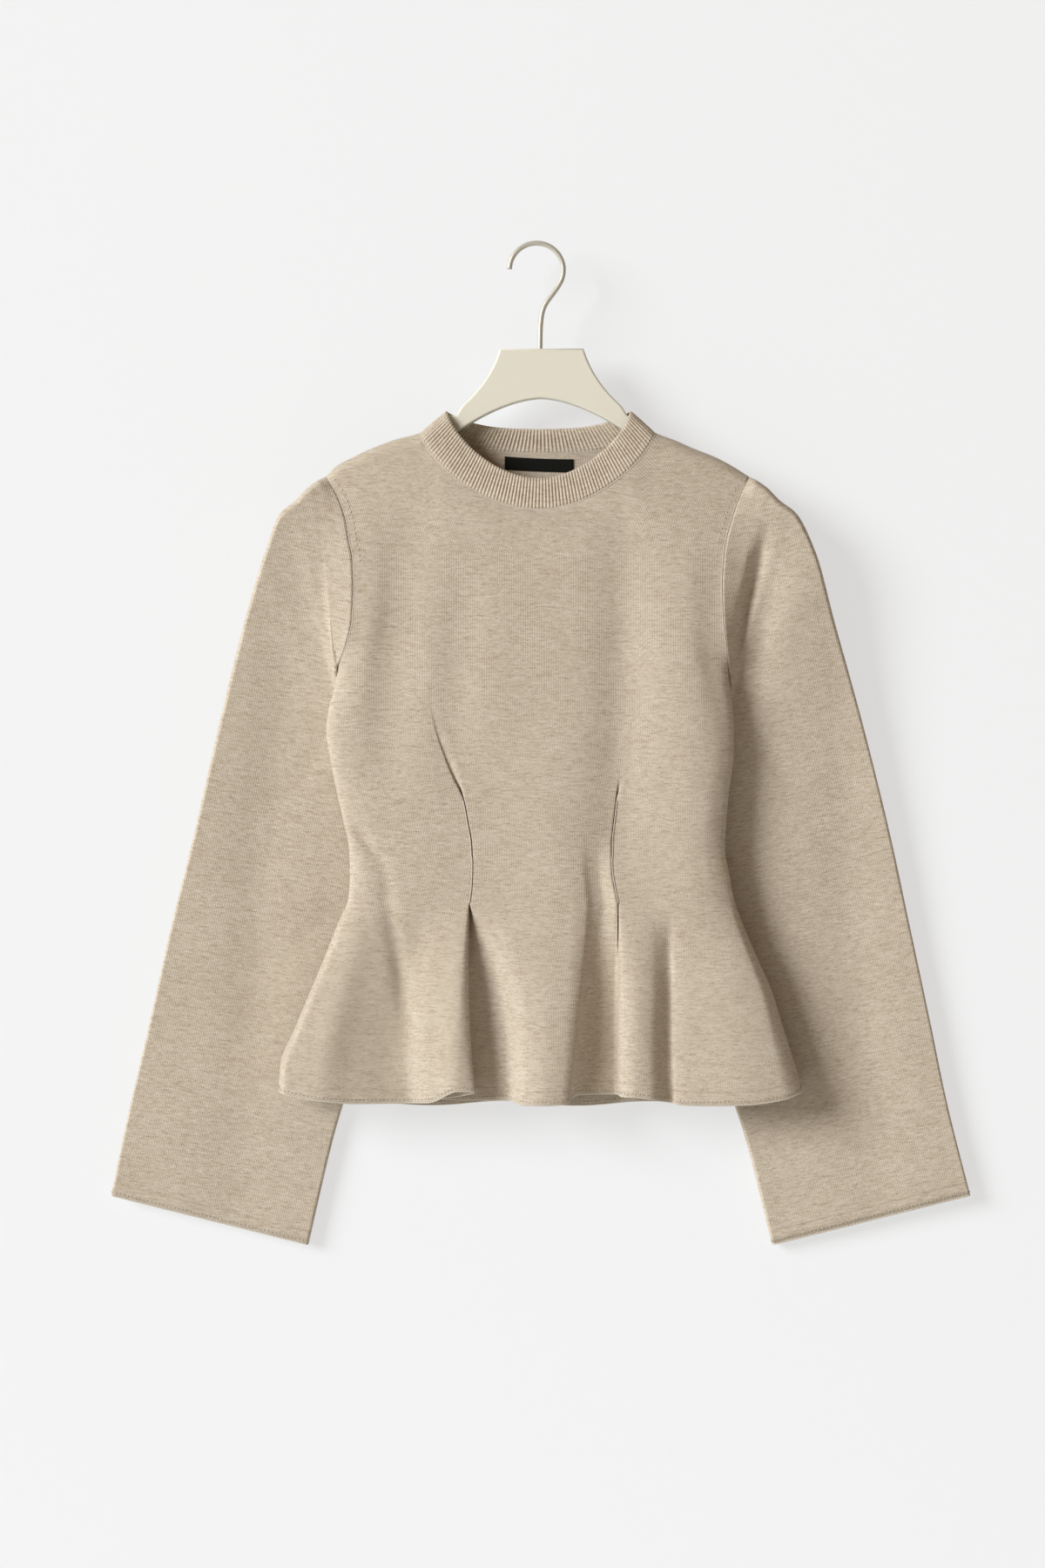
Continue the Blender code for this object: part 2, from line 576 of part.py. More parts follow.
def sleeve_rings(side):
    """Outer face of a sleeve, ring by ring from the armhole to the cuff."""
    seams = {face: armhole(side, face) for face in (-1, 1)}
    height = seams[-1][0, 2] - seams[-1][-1, 2]
    seam_across = (seams[-1][0, 2] - seams[-1][:, 2]) / height
    even_across = np.array(SLEEVE_ACROSS)
    outwards = np.array([side * SEAM_GAP, 0, 0])
    rings = [join_faces(seams[-1] + outwards, seams[1] + outwards)]
    for number, station in enumerate(SLEEVE_STATIONS):
        even = ease(0, 5, number)
        across = (1 - even) * seam_across + even * even_across
        faces = []
        for face in (-1, 1):
            points = flat_tube(station, side, across, face)
            if number < len(SLEEVE_RELEASE):
                release = SLEEVE_RELEASE[number]
                points[:, 1] = (1 - release) * seams[face][:, 1] + release * points[:, 1]
            if number == 1 and face < 0:
                reach = ease(SLEEVE_FOLD_START, SLEEVE_FOLD_FULL, across)
                reach *= 1 - ease(SLEEVE_FOLD_FULL, SLEEVE_FOLD_END, across)
                points[:, 0] -= side * SLEEVE_FOLD_REACH * reach
            faces.append(points)
        rings.append(join_faces(*faces))
    return np.array(rings)


def armhole_normals(side):
    faces = []
    for face in (-1, 1):
        edge = armhole(side, face)
        faces.append(panel_normal(edge[:, 0], edge[:, 2], face))
    return join_faces(*faces)


def join_faces(front, back):
    """A closed ring from two faces that share their first and last points."""
    return np.concatenate([front, back[-2::-1]])


def tangents(rows, axis, closed):
    """Bisecting direction at each point along one axis of the grid."""
    rows = np.moveaxis(rows, axis, 0)
    steps = unit(np.diff(rows, axis=0))
    before = np.concatenate([steps[-1:] if closed else steps[:1], steps])
    after = np.concatenate([steps, steps[:1] if closed else steps[-1:]])
    return np.moveaxis(unit(before + after), 0, axis)


def grid_normals(rows, outward, closed):
    """Outward directions of a grid of points; closed when its last column meets its first."""
    return outward * unit(np.cross(tangents(rows, 1, closed), tangents(rows, 0, False)))


def cloth(name, rows, normals, material, wall=WALL):
    """A solid sheet: the outer face's grid, and a copy of it moved inwards by the wall."""
    count_up, count_across = rows.shape[:2]
    inner = rows - wall * normals
    bm = bmesh.new()
    place = bm.verts.layers.int.new("place")
    bmesh.ops.create_grid(bm, x_segments=count_across - 1, y_segments=count_up - 1, size=0.5)
    for vertex in bm.verts:
        across = round((vertex.co.x + 0.5) * (count_across - 1))
        up = round((vertex.co.y + 0.5) * (count_up - 1))
        vertex[place] = up * count_across + across
        vertex.co = rows[up, across]
    bmesh.ops.remove_doubles(bm, verts=bm.verts, dist=1e-6)
    made = bmesh.ops.extrude_face_region(bm, geom=list(bm.faces))
    for item in made["geom"]:
        if isinstance(item, bmesh.types.BMVert):
            item.co = inner[divmod(item[place], count_across)]
    bmesh.ops.recalc_face_normals(bm, faces=bm.faces)
    mesh = bpy.data.meshes.new(name)
    bm.to_mesh(mesh)
    bm.free()
    mesh.shade_smooth()
    mesh.materials.append(material)
    thing = bpy.data.objects.new(name, mesh)
    bpy.context.scene.collection.objects.link(thing)
    return thing


def panel_normals(rows, side):
    """Normals of a panel, with those at its seams shared with the piece on the other side."""
    normals = grid_normals(rows, 1 if side < 0 else -1, False)
    normals[-1] = panel_normal(rows[-1, :, 0], rows[-1, :, 2], side)
    for edge in (0, -1):
        above = rows[:, edge, 2] > UNDERARM_Z - 1e-6
        below = ~above
        normals[above, edge] = panel_normal(rows[above, edge, 0], rows[above, edge, 2], side)
        flat = normals[below, edge]
        flat[:, 1] = 0
        normals[below, edge] = unit(flat)
    return normals


def make_panel(name, rows, side, material):
    """A body panel. Returns the neckline that it leaves for the band, with its normals."""
    normals = panel_normals(rows, side)
    cloth(name, rows, normals, material)
    top = rows[-1]
    inside = (top[:, 0] > NECK_SEAM.left - 1e-6) & (top[:, 0] < NECK_SEAM.right + 1e-6)
    return np.concatenate([top[inside], normals[-1, inside]], axis=1)


def make_sleeve(side, name, material):
    """A sleeve. It runs on from the panels along the armhole, and folds back at the underarm."""
    rings = sleeve_rings(side)
    normals = grid_normals(rings, side, True)
    runs_on = ease(FOLDS_BACK_Z, RUNS_ON_Z, rings[0, :, 2])[:, None]
    normals[0] = unit(runs_on * armhole_normals(side) + (1 - runs_on) * normals[0])
    cloth(name, rings, normals, material)


def closed_loop(front, back):
    """The front half of a loop from left to right, then the back half from right to left."""
    return np.concatenate([front, back[-2:0:-1], front[:1]])


def rib_line(points, ribs):
    """Two points a rib along half of the neck, from the left shoulder to the right one."""
    return along(points, np.linspace(0, 1, 2 * ribs + 1))


def make_neckband(front_edge, back_edge, material):
    """Ribbed band from the neck seam to its upper edge, closed round the neck."""
    edge = closed_loop(rib_line(front_edge, FRONT_RIBS), rib_line(back_edge, BACK_RIBS))
    seam = edge[:, :3]
    halves = []
    for (x, z), side, ribs in ((front_neck(NECK_TOP), -1, FRONT_RIBS), (back_neck(NECK_TOP), 1, BACK_RIBS)):
        halves.append(rib_line(np.stack([x, panel_y(x, z, side), z], axis=1), ribs))
    top = closed_loop(*halves)
    rows = np.array([seam + SEAM_GAP * unit(top - seam), top])
    normals = grid_normals(rows, 1, True)
    normals[0] = edge[:, 3:]
    relief = RIB_RELIEF / 2 * np.where(np.arange(len(seam)) % 2 == 0, 1, -1)
    cloth("neckband", rows + relief[None, :, None] * normals, normals, material)


def make_label(material):
    """Label laid on the inner face of the back panel, moved out from it."""
    x = np.linspace(LABEL_LEFT, LABEL_RIGHT, LABEL_COLUMNS)
    rows = []
    for z in (LABEL_TOP_Z - LABEL_HEIGHT, LABEL_TOP_Z):
        level = np.full(len(x), z)
        panel = np.stack([x, panel_y(x, level, 1), level], axis=1)
        rows.append(panel - (WALL + SEAM_GAP + LABEL_THICKNESS) * panel_normal(x, level, 1))
    rows = np.array(rows)
    cloth("neck_label", rows, grid_normals(rows, 1, False), material, LABEL_THICKNESS)


def hanger_side(side):
    """Upper and lower edges of half the hanger, from its plate to the tip of the arm."""
    upper = [(side * PLATE_TOP_HALF, PLATE_TOP_Z)]
    upper += [(side * half, z) for half, z in PLATE_EDGE]
    upper = [(HANGER_X + x, z) for x, z in upper]
    start = (CREST[0].left if side < 0 else CREST[0].right) - HANGER_X
    for step in range(ARM_STEPS):
        x = HANGER_X + start + (side * HANGER_TIP_X - start) * step / (ARM_STEPS - 1)
        slope = float(crest_height(x + NORMAL_STEP) - crest_height(x - NORMAL_STEP)) / (2 * NORMAL_STEP)
        upper.append((x, float(crest_height(x)) - HANGER_SEAT * np.hypot(1, slope)))
    lower = [(x, z - ARM_HEIGHT) for x, z in upper[-ARM_STEPS + 1:]]
    return upper, lower[::-1]


def hanger_outline():
    left_upper, left_lower = hanger_side(-1)
    right_upper, right_lower = hanger_side(1)
    arch = []
    for across in np.linspace(-1, 1, ARCH_STEPS + 1):
        fall = abs(across) ** ARCH_FLATNESS
        arch.append((HANGER_X + ARCH_HALF * across, ARCH_TOP_Z + (ARCH_FOOT_Z - ARCH_TOP_Z) * fall))
    return left_upper[::-1] + right_upper + right_lower + arch[::-1] + left_lower[::-1]


def make_hanger(material):
    mesh = bpy.data.meshes.new("hanger_body")
    bm = bmesh.new()
    corners = [bm.verts.new((x, HANGER_HALF_THICKNESS, z)) for x, z in hanger_outline()]
    face = bm.faces.new(corners)
    made = bmesh.ops.extrude_face_region(bm, geom=[face])
    moved = [item for item in made["geom"] if isinstance(item, bmesh.types.BMVert)]
    bmesh.ops.translate(bm, verts=moved, vec=(0, -2 * HANGER_HALF_THICKNESS, 0))
    bmesh.ops.recalc_face_normals(bm, faces=bm.faces)
    bm.to_mesh(mesh)
    bm.free()
    thing = bpy.data.objects.new("hanger_body", mesh)
    bpy.context.scene.collection.objects.link(thing)
    mesh.materials.append(material)
    soften = thing.modifiers.new("rounded edges", "BEVEL")
    soften.width = HANGER_BEVEL
    soften.segments = 1
    soften.limit_method = "ANGLE"
    soften.angle_limit = np.radians(60)
    return thing


def make_hook(material):
    """Bent wire: a round hook over the origin, then straight down onto the plate."""
    centre_z = -HOOK_RADIUS + HOOK_WIRE
    route = []
    for step in range(HOOK_STEPS):
        angle = np.radians(HOOK_TIP_ANGLE + (HOOK_END_ANGLE - HOOK_TIP_ANGLE) * step / (HOOK_STEPS - 1))
        route.append((HOOK_CENTRE_X + HOOK_RADIUS * np.cos(angle), centre_z + HOOK_RADIUS * np.sin(angle)))
    end_x, end_z = route[-1]
    route.append(((end_x + HOOK_STEM_X) / 2, end_z - 0.009))
    route.append((HOOK_STEM_X + 0.0015, end_z - 0.0165))
    route.append((HOOK_STEM_X, end_z - 0.024))
    route.append((HOOK_STEM_X, PLATE_TOP_Z + SEAM_GAP))
    wire = bpy.data.curves.new("hanger_hook", "CURVE")
    wire.dimensions = "3D"
    spline = wire.splines.new("POLY")
    spline.points.add(len(route) - 1)
    for point, (x, z) in zip(spline.points, route):
        point.co = (x, 0, z, 1)
    wire.bevel_depth = HOOK_WIRE
    wire.bevel_resolution = 2
    wire.use_fill_caps = True
    thing = bpy.data.objects.new("hanger_hook", wire)
    bpy.context.scene.collection.objects.link(thing)
    wire.materials.append(material)
    return thing


def main():
    clear_scene()
    front_edge = make_panel("front", front_rows(), -1, finish("front knit", OATMEAL, 0.9, 0.0))
    back_edge = make_panel("back", back_rows(), 1, finish("back knit", OATMEAL, 0.9, 0.0))
    make_sleeve(-1, "sleeve_left", finish("left sleeve knit", OATMEAL, 0.9, 0.0))
    make_sleeve(1, "sleeve_right", finish("right sleeve knit", OATMEAL, 0.9, 0.0))
    make_neckband(front_edge, back_edge, finish("neckband rib", OATMEAL, 0.9, 0.0))
    make_label(finish("label weave", BLACK, 0.6, 0.0))
    make_hanger(finish("hanger plastic", CREAM, 0.45, 0.0))
    make_hook(finish("hook paint", HOOK_GREY, 0.35, 0.6))


if __name__ == "__main__":
    main()
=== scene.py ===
"""Looks of a knitted peplum top on its hanger: cloth, seams, label, hanger, stage and camera.

Metres, +Z up. The origin is the point inside the hook where it rests, +X runs to the right of
the front view, and the front of the top faces -Y. The cloth is worked out from the same tables
as the solids, row by row and column by column, only finer and with its creases.
"""

from collections import namedtuple

import bmesh
import bpy
import numpy as np
from bpy.props import FloatProperty, FloatVectorProperty, PointerProperty
from mathutils import Matrix, Vector


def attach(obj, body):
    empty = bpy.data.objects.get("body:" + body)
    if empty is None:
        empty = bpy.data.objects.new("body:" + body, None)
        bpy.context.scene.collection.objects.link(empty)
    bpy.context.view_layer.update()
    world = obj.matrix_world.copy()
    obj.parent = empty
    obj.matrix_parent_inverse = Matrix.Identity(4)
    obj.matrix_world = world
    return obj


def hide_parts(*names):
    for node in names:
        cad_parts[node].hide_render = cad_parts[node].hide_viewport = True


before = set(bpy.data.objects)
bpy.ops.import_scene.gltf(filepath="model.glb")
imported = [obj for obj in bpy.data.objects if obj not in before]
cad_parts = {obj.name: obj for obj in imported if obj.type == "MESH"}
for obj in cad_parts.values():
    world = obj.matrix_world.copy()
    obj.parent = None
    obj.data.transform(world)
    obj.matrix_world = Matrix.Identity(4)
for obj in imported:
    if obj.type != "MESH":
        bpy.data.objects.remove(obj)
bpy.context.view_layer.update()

bl_info = {
    "name": "Peplum top on a hanger",
    "version": (1, 0, 0),
    "blender": (4, 5, 0),
    "location": "3D View > Sidebar > Peplum top",
    "description": "Builds a knitted peplum top, its seams, its hanger and a plain stage",
    "category": "Object",
}

BODY = "root"

# Sizes shared with the solids

WALL = 0.0016
SEAM_GAP = 0.0003
SIDE_SEAM_Y = 0.002
SHOULDER_ROUND = 0.0125
SHOULDER_LEAN = 0.12
DEPTH_BLEND = 0.0015
NORMAL_STEP = 0.00002
YOKE_Z = -0.265
UNDERARM_Z = -0.362
WAIST_Z = -0.559
MID_PEPLUM_Z = -0.620

Edge = namedtuple("Edge", "z left right")

# Side seams from the hem to the underarms, then the armhole seams up to the shoulder points.
BODY_EDGES = (
    Edge(-0.7165, -0.2220, 0.2230),
    Edge(-0.6940, -0.2200, 0.2160),
    Edge(-0.6640, -0.2075, 0.2065),
    Edge(-0.6350, -0.1955, 0.1975),
    Edge(-0.6050, -0.1830, 0.1845),
    Edge(-0.5760, -0.1715, 0.1720),
    Edge(-0.5540, -0.1625, 0.1645),
    Edge(-0.5350, -0.1612, 0.1610),
    Edge(-0.5130, -0.1620, 0.1572),
    Edge(-0.4870, -0.1672, 0.1584),
    Edge(-0.4570, -0.1739, 0.1613),
    Edge(-0.4350, -0.1780, 0.1643),
    Edge(-0.4130, -0.1813, 0.1647),
    Edge(-0.3915, -0.1787, 0.1632),
    Edge(-0.3770, -0.1745, 0.1613),
    Edge(UNDERARM_Z, -0.1720, 0.1596),
    Edge(-0.3400, -0.1640, 0.1576),
    Edge(-0.3200, -0.1591, 0.1550),
    Edge(-0.2900, -0.1576, 0.1539),
    Edge(-0.2670, -0.1584, 0.1550),
    Edge(-0.2520, -0.1613, 0.1572),
    Edge(-0.2340, -0.1643, 0.1621),
    Edge(-0.2130, -0.1717, 0.1695),
    Edge(-0.1965, -0.1820, 0.1776),
)

# Top line of the shoulders, from the neckband's upper edge out to the sleeve heads.
CREST = (
    Edge(-0.1404, -0.0792, 0.0770),
    Edge(-0.1590, -0.1014, 0.0977),
    Edge(-0.1650, -0.1228, 0.1132),
    Edge(-0.1724, -0.1428, 0.1302),
    Edge(-0.1798, -0.1584, 0.1487),
    Edge(-0.1872, -0.1724, 0.1628),
    Edge(-0.1965, -0.1820, 0.1776),
    Edge(-0.2057, -0.1968, 0.1924),
    Edge(-0.2168, -0.2072, 0.2035),
    Edge(-0.2279, -0.2205, 0.2176),
    Edge(-0.2612, -0.2335, 0.2342),
)

Depth = namedtuple("Depth", "z front back")

# How far the middle of each panel stands out from the hanger's plane.
BODY_DEPTHS = (
    Depth(-0.730, 0.0190, 0.0125),
    Depth(-0.559, 0.0170, 0.0110),
    Depth(-0.520, 0.0170, 0.0110),
    Depth(-0.450, 0.0190, 0.0120),
    Depth(-0.370, 0.0210, 0.0125),
    Depth(-0.265, 0.0200, 0.0120),
    Depth(-0.140, 0.0200, 0.0120),
)
SIDE_ROUNDING = 6.5
ARMHOLE_CUT = 0.22
ARMHOLE_CUT_Z = -0.312

# Stitch lines of the two front tucks, and how they open into creases above the stitching.
TUCK_LINES = (
    Edge(-0.559, -0.0596, 0.0662),
    Edge(-0.545, -0.0577, 0.0632),
    Edge(-0.527, -0.0570, 0.0607),
    Edge(-0.508, -0.0577, 0.0605),
    Edge(-0.490, -0.0607, 0.0622),
    Edge(-0.4706, -0.0644, 0.0644),
    Edge(-0.4507, -0.0729, 0.0680),
    Edge(-0.4336, -0.0792, 0.0722),
    Edge(-0.4115, -0.0866, 0.0777),
    Edge(-0.385, -0.0920, 0.0820),
    Edge(-0.290, -0.0970, 0.0870),
)
Opening = namedtuple("Opening", "z depth half_width closed")
TUCK_OPENINGS = (
    Opening(-0.559, 0.0110, 0.0015, 1.0),
    Opening(-0.4706, 0.0110, 0.0015, 1.0),
    Opening(-0.4620, 0.0040, 0.0028, 0.35),
    Opening(-0.4500, 0.0024, 0.0042, 0.05),
    Opening(-0.4360, 0.0016, 0.0056, 0.0),
    Opening(-0.4115, 0.0007, 0.0058, 0.0),
    Opening(-0.3850, 0.0000, 0.0060, 0.0),
    Opening(-0.2900, 0.0000, 0.0050, 0.0),
)
TUCK_SLIT = 0.00032
TUCK_LIP = 0.05
RIGHT_TUCK_FADE = (-0.452, -0.4715)

# Above its stitching a tuck is a soft step that faces right and rises slowly beyond it.
Profile = namedtuple("Profile", "closed_x closed_y open_x open_y")
TUCK_PROFILE = (
    Profile(None, 0.0, -0.42, 0.0),
    Profile(-1, TUCK_LIP, -0.30, 0.30),
    Profile(-1, 0.9, -0.18, 0.85),
    Profile(0, 1.0, -0.04, 1.0),
    Profile(1, 0.9, 0.30, 0.78),
    Profile(1, TUCK_LIP, 0.80, 0.32),
    Profile(None, 0.0, 1.4, 0.0),
)
FURROW_AT = 0.88
FURROW_WIDTH = 0.075
FURROW_DEPTH = 0.006
FURROW_TOP_Z = -0.490

# Fold lines of the peplum: where each leaves its panel at the waist, then its place half-way
# down and at the hem.
Fold = namedtuple("Fold", "at mid_x mid_y hem_x hem_y hem_z")
LEFT_FOLDS = (
    Fold(0.000, -0.1900, 0.0020, -0.2220, 0.0020, -0.7165),
    Fold(0.012, -0.1892, -0.0095, -0.2210, -0.0110, -0.7172),
    Fold(0.060, -0.1850, -0.0185, -0.2160, -0.0218, -0.7190),
    Fold(0.200, -0.1660, -0.0198, -0.1880, -0.0236, -0.7245),
    Fold(0.420, -0.1400, -0.0168, -0.1520, -0.0192, -0.7270),
    Fold(0.650, -0.1165, -0.0140, -0.1130, -0.0140, -0.7270),
    Fold(0.850, -0.0900, -0.0222, -0.0945, -0.0225, -0.7262),
)
LEFT_TUCK_FOLDS = (
    Fold(0, -0.0665, -0.0270, -0.0690, -0.0335, -0.7158),
    Fold(1, -0.0605, -0.0225, -0.0545, -0.0300, -0.7168),
    Fold(2, -0.0640, -0.0165, -0.0690, -0.0225, -0.7205),
    Fold(3, -0.0660, -0.0100, -0.0845, -0.0140, -0.7232),
    Fold(4, -0.0595, -0.0065, -0.0670, -0.0065, -0.7250),
    Fold(5, -0.0480, -0.0080, -0.0440, -0.0075, -0.7250),
    Fold(6, -0.0375, -0.0115, -0.0285, -0.0098, -0.7245),
)
CENTRE_FOLDS = (
    Fold(0.09, -0.0292, -0.0180, -0.0212, -0.0195, -0.7262),
    Fold(0.20, -0.0175, -0.0242, -0.0140, -0.0290, -0.7275),
    Fold(0.45, 0.0050, -0.0265, 0.0030, -0.0335, -0.7275),
    Fold(0.68, 0.0240, -0.0258, 0.0170, -0.0320, -0.7270),
    Fold(0.78, 0.0348, -0.0222, 0.0246, -0.0275, -0.7255),
    Fold(0.84, 0.0390, -0.0155, 0.0272, -0.0180, -0.7225),
    Fold(0.90, 0.0465, -0.0085, 0.0360, -0.0090, -0.7200),
    Fold(0.96, 0.0560, -0.0065, 0.0500, -0.0055, -0.7200),
)
RIGHT_TUCK_FOLDS = (
    Fold(0, 0.0632, -0.0066, 0.0628, -0.0032, -0.7203),
    Fold(1, 0.0652, -0.0085, 0.0652, -0.0055, -0.7203),
    Fold(2, 0.0660, -0.0110, 0.0661, -0.0090, -0.7204),
    Fold(3, 0.0665, -0.0138, 0.0665, -0.0130, -0.7205),
    Fold(4, 0.0670, -0.0168, 0.0669, -0.0175, -0.7206),
    Fold(5, 0.0680, -0.0200, 0.0676, -0.0220, -0.7208),
    Fold(6, 0.0705, -0.0230, 0.0696, -0.0262, -0.7208),
)
RIGHT_FOLDS = (
    Fold(0.12, 0.0815, -0.0255, 0.0795, -0.0300, -0.7210),
    Fold(0.28, 0.0940, -0.0240, 0.0920, -0.0290, -0.7225),
    Fold(0.40, 0.1035, -0.0195, 0.1030, -0.0228, -0.7245),
    Fold(0.46, 0.1105, -0.0158, 0.1115, -0.0170, -0.7262),
    Fold(0.53, 0.1145, -0.0182, 0.1155, -0.0212, -0.7275),
    Fold(0.68, 0.1330, -0.0195, 0.1380, -0.0228, -0.7285),
    Fold(0.84, 0.1600, -0.0210, 0.1740, -0.0246, -0.7278),
    Fold(0.94, 0.1830, -0.0190, 0.2060, -0.0222, -0.7235),
    Fold(0.985, 0.1900, -0.0100, 0.2208, -0.0120, -0.7180),
    Fold(1.000, 0.1917, 0.0020, 0.2230, 0.0020, -0.7165),
)
FRONT_FOLDS = LEFT_FOLDS + LEFT_TUCK_FOLDS + CENTRE_FOLDS + RIGHT_TUCK_FOLDS + RIGHT_FOLDS
FRONT_CENTRE = len(LEFT_FOLDS) + len(LEFT_TUCK_FOLDS) + 2

BACK_COLUMNS = (0.0, 0.006, 0.03, 0.075, 0.12, 0.16, 0.20, 0.24, 0.28, 0.325, 0.37, 0.415, 0.46)
BACK_WAVES = 3.5
BACK_WAVE_DEPTH = 0.0035
BACK_HEM_DROP = 0.0125
BACK_HEM_SWING = 0.0025

# Neckband: the seam that joins it to the panels, and its own upper edge.
Loop = namedtuple("Loop", "left right shoulder_z front_drop back_drop")
NECK_SEAM = Loop(-0.1014, 0.0977, -0.1590, 0.0666, 0.0163)
NECK_TOP = Loop(-0.0792, 0.0770, -0.1404, 0.0586, 0.0142)
NECK_FRONT_BELLY = 1.85
NECK_FRONT_FULLNESS = 0.72
NECK_BACK_FLATNESS = 3.0
NECK_SAMPLES = 400
SHOULDER_COLUMNS = 6
NECK_CROWDING = 0.6
FRONT_RIBS = 88
BACK_RIBS = 62

LABEL_LEFT = -0.0300
LABEL_RIGHT = 0.0285
LABEL_TOP_Z = -0.1793
LABEL_HEIGHT = 0.0110
LABEL_THICKNESS = 0.0006
LABEL_TILT = 0.0012
LABEL_SAG = 0.0006

# Sleeves. Each station is a line across the flat tube, from the outer fold to the inner fold.
Station = namedtuple(
    "Station", "outer_left outer_right outer_z inner_left inner_right inner_z outer_y inner_y half")
SLEEVE_STATIONS = (
    Station(-0.1880, 0.1835, -0.1994, -0.1732, 0.1606, -0.3656, -0.003, 0.001, 0.0140),
    Station(-0.1968, 0.1924, -0.2057, -0.1712, 0.1612, -0.3715, -0.004, 0.005, 0.0140),
    Station(-0.2072, 0.2035, -0.2168, -0.1698, 0.1607, -0.3789, -0.004, 0.009, 0.0140),
    Station(-0.2205, 0.2176, -0.2279, -0.1705, 0.1608, -0.3892, -0.004, 0.014, 0.0135),
    Station(-0.2335, 0.2342, -0.2612, -0.1705, 0.1584, -0.4092, -0.003, 0.017, 0.0122),
    Station(-0.2516, 0.2509, -0.3204, -0.1613, 0.1421, -0.4388, 0.003, 0.020, 0.0098),
    Station(-0.2734, 0.2753, -0.4055, -0.1480, 0.1310, -0.4832, 0.012, 0.023, 0.0076),
    Station(-0.2960, 0.2997, -0.5017, -0.1413, 0.1295, -0.5461, 0.018, 0.025, 0.0060),
    Station(-0.3164, 0.3175, -0.5831, -0.1443, 0.1376, -0.6164, 0.021, 0.026, 0.0053),
    Station(-0.3330, 0.3334, -0.6571, -0.1547, 0.1510, -0.6830, 0.022, 0.027, 0.0050),
    Station(-0.3504, 0.3489, -0.7311, -0.1769, 0.1761, -0.7607, 0.023, 0.028, 0.0048),
    Station(-0.3670, 0.3685, -0.8088, -0.1983, 0.1991, -0.8517, 0.023, 0.028, 0.0050),
)
SLEEVE_ACROSS = (0.0, 0.001, 0.008, 0.025, 0.06, 0.15, 0.28, 0.42, 0.55, 0.68, 0.79, 0.87, 0.93,
                 0.97, 0.99, 1.0)
SLEEVE_RELEASE = (0.0, 0.92, 0.95, 0.97, 0.99, 1.0)
FOLD_SHARPNESS = 0.45
FOLDS_BACK_Z = -0.352
RUNS_ON_Z = -0.334

HANGER_X = 0.0015
HANGER_HALF_THICKNESS = 0.0050
HANGER_SEAT = 0.0032
ARM_HEIGHT = 0.0170
HANGER_TIP_X = 0.2095
PLATE_TOP_Z = -0.0878
PLATE_TOP_HALF = 0.0355
PLATE_EDGE = ((0.0395, -0.0985), (0.0460, -0.1110), (0.0570, -0.1258), (0.0688, -0.1380),
              (0.0725, -0.1445))
ARCH_TOP_Z = -0.1302
ARCH_HALF = 0.0690
ARCH_FOOT_Z = -0.1569
ARCH_FLATNESS = 1.7

HOOK_RADIUS = 0.0229
HOOK_WIRE = 0.0022
HOOK_CENTRE_X = -0.0030
HOOK_TIP_ANGLE = 178
HOOK_END_ANGLE = -26
HOOK_BEND = ((0.0141, 0.0, -0.0366), (0.0100, 0.0, -0.0422), (0.0058, 0.0, -0.0480),
             (0.0028, 0.0, -0.0540), (0.0012, 0.0, -0.0610), (0.0003, 0.0, -0.0720),
             (0.0, 0.0, -0.0885))

# Sizes of the finer cloth

PANEL_STEP = 0.0036
PEPLUM_ROWS = 56
CHEST_ROWS = 78
YOKE_ROWS = 34
SLEEVE_ROWS = 130
SLEEVE_STEPS = 4
BAND_ROWS = 12
BAND_STEPS = 8
PLATE_STEPS = 26
ARM_STEPS = 40
ARCH_STEPS = 60
HANGER_ROUNDING = 0.0026

RIB_PITCH = 0.0030
TUCK_STITCH_TOP_Z = -0.4720
HEM_STITCHES_UP = 0.0030
MARKS_TOP_Z = -0.2000
MARKS_END_Z = -0.2700
MARKS_STEP = 0.0046
MARKS_INSET = 0.0062

CLOTH_UNEVEN = 0.0006
BACK_WIDTH = 0.445

# Creases fade out this near to a panel's side edges and at these heights below the shoulders.
CALM_EDGE = (0.002, 0.032)
CALM_TOP_Z = (-0.185, -0.235)

# Heights between which the columns of stitches fan out below the tucks.
FANNED_OUT_Z = (-0.450, -0.700)

# Stitches lie this deep in the cloth, and a linked edge stands this far past it.
SET_IN = 0.0001
EDGE_PROUD = 0.0004

Stitch = namedtuple("Stitch", "length thick slant")
HEM_STITCH = Stitch(0.0019, 0.00055, 0.8)
FASHION_MARK = Stitch(0.0026, 0.0008, -0.5)

# The roll of each seam: its radius, how deep it lies in the cloth, and how far beside its line.
Seam = namedtuple("Seam", "radius depth aside")
NECK_SEAM_ROLL = Seam(0.00112, WALL / 2, 0.0)
ARMHOLE_ROLL = Seam(0.00080, 0.00055, 0.0005)
SHOULDER_ROLL = Seam(0.00085, 0.0006, 0.0)
SIDE_ROLL = Seam(0.00085, 0.0, 0.0005)
TUCK_RIDGE = Seam(0.00055, 0.00050, 0.00090)

# Blots of the melange yarn: width and height on the flat knit.
STREAKS = (0.0060, 0.0013)
LONG_STREAKS = (0.0150, 0.0024)
FLECKS = (0.0022, 0.0009)
CLOUDS = (0.050, 0.030)
BROWN_FLECKS = (0.0062, 0.0019)

# The line that the hem's and cuffs' turned edge draws on the face, and its half width; the knit is
# painted darker along it, as shade in its groove.
HEM_LINE_UP = 0.0110
HEM_LINE_HALF = 0.0009

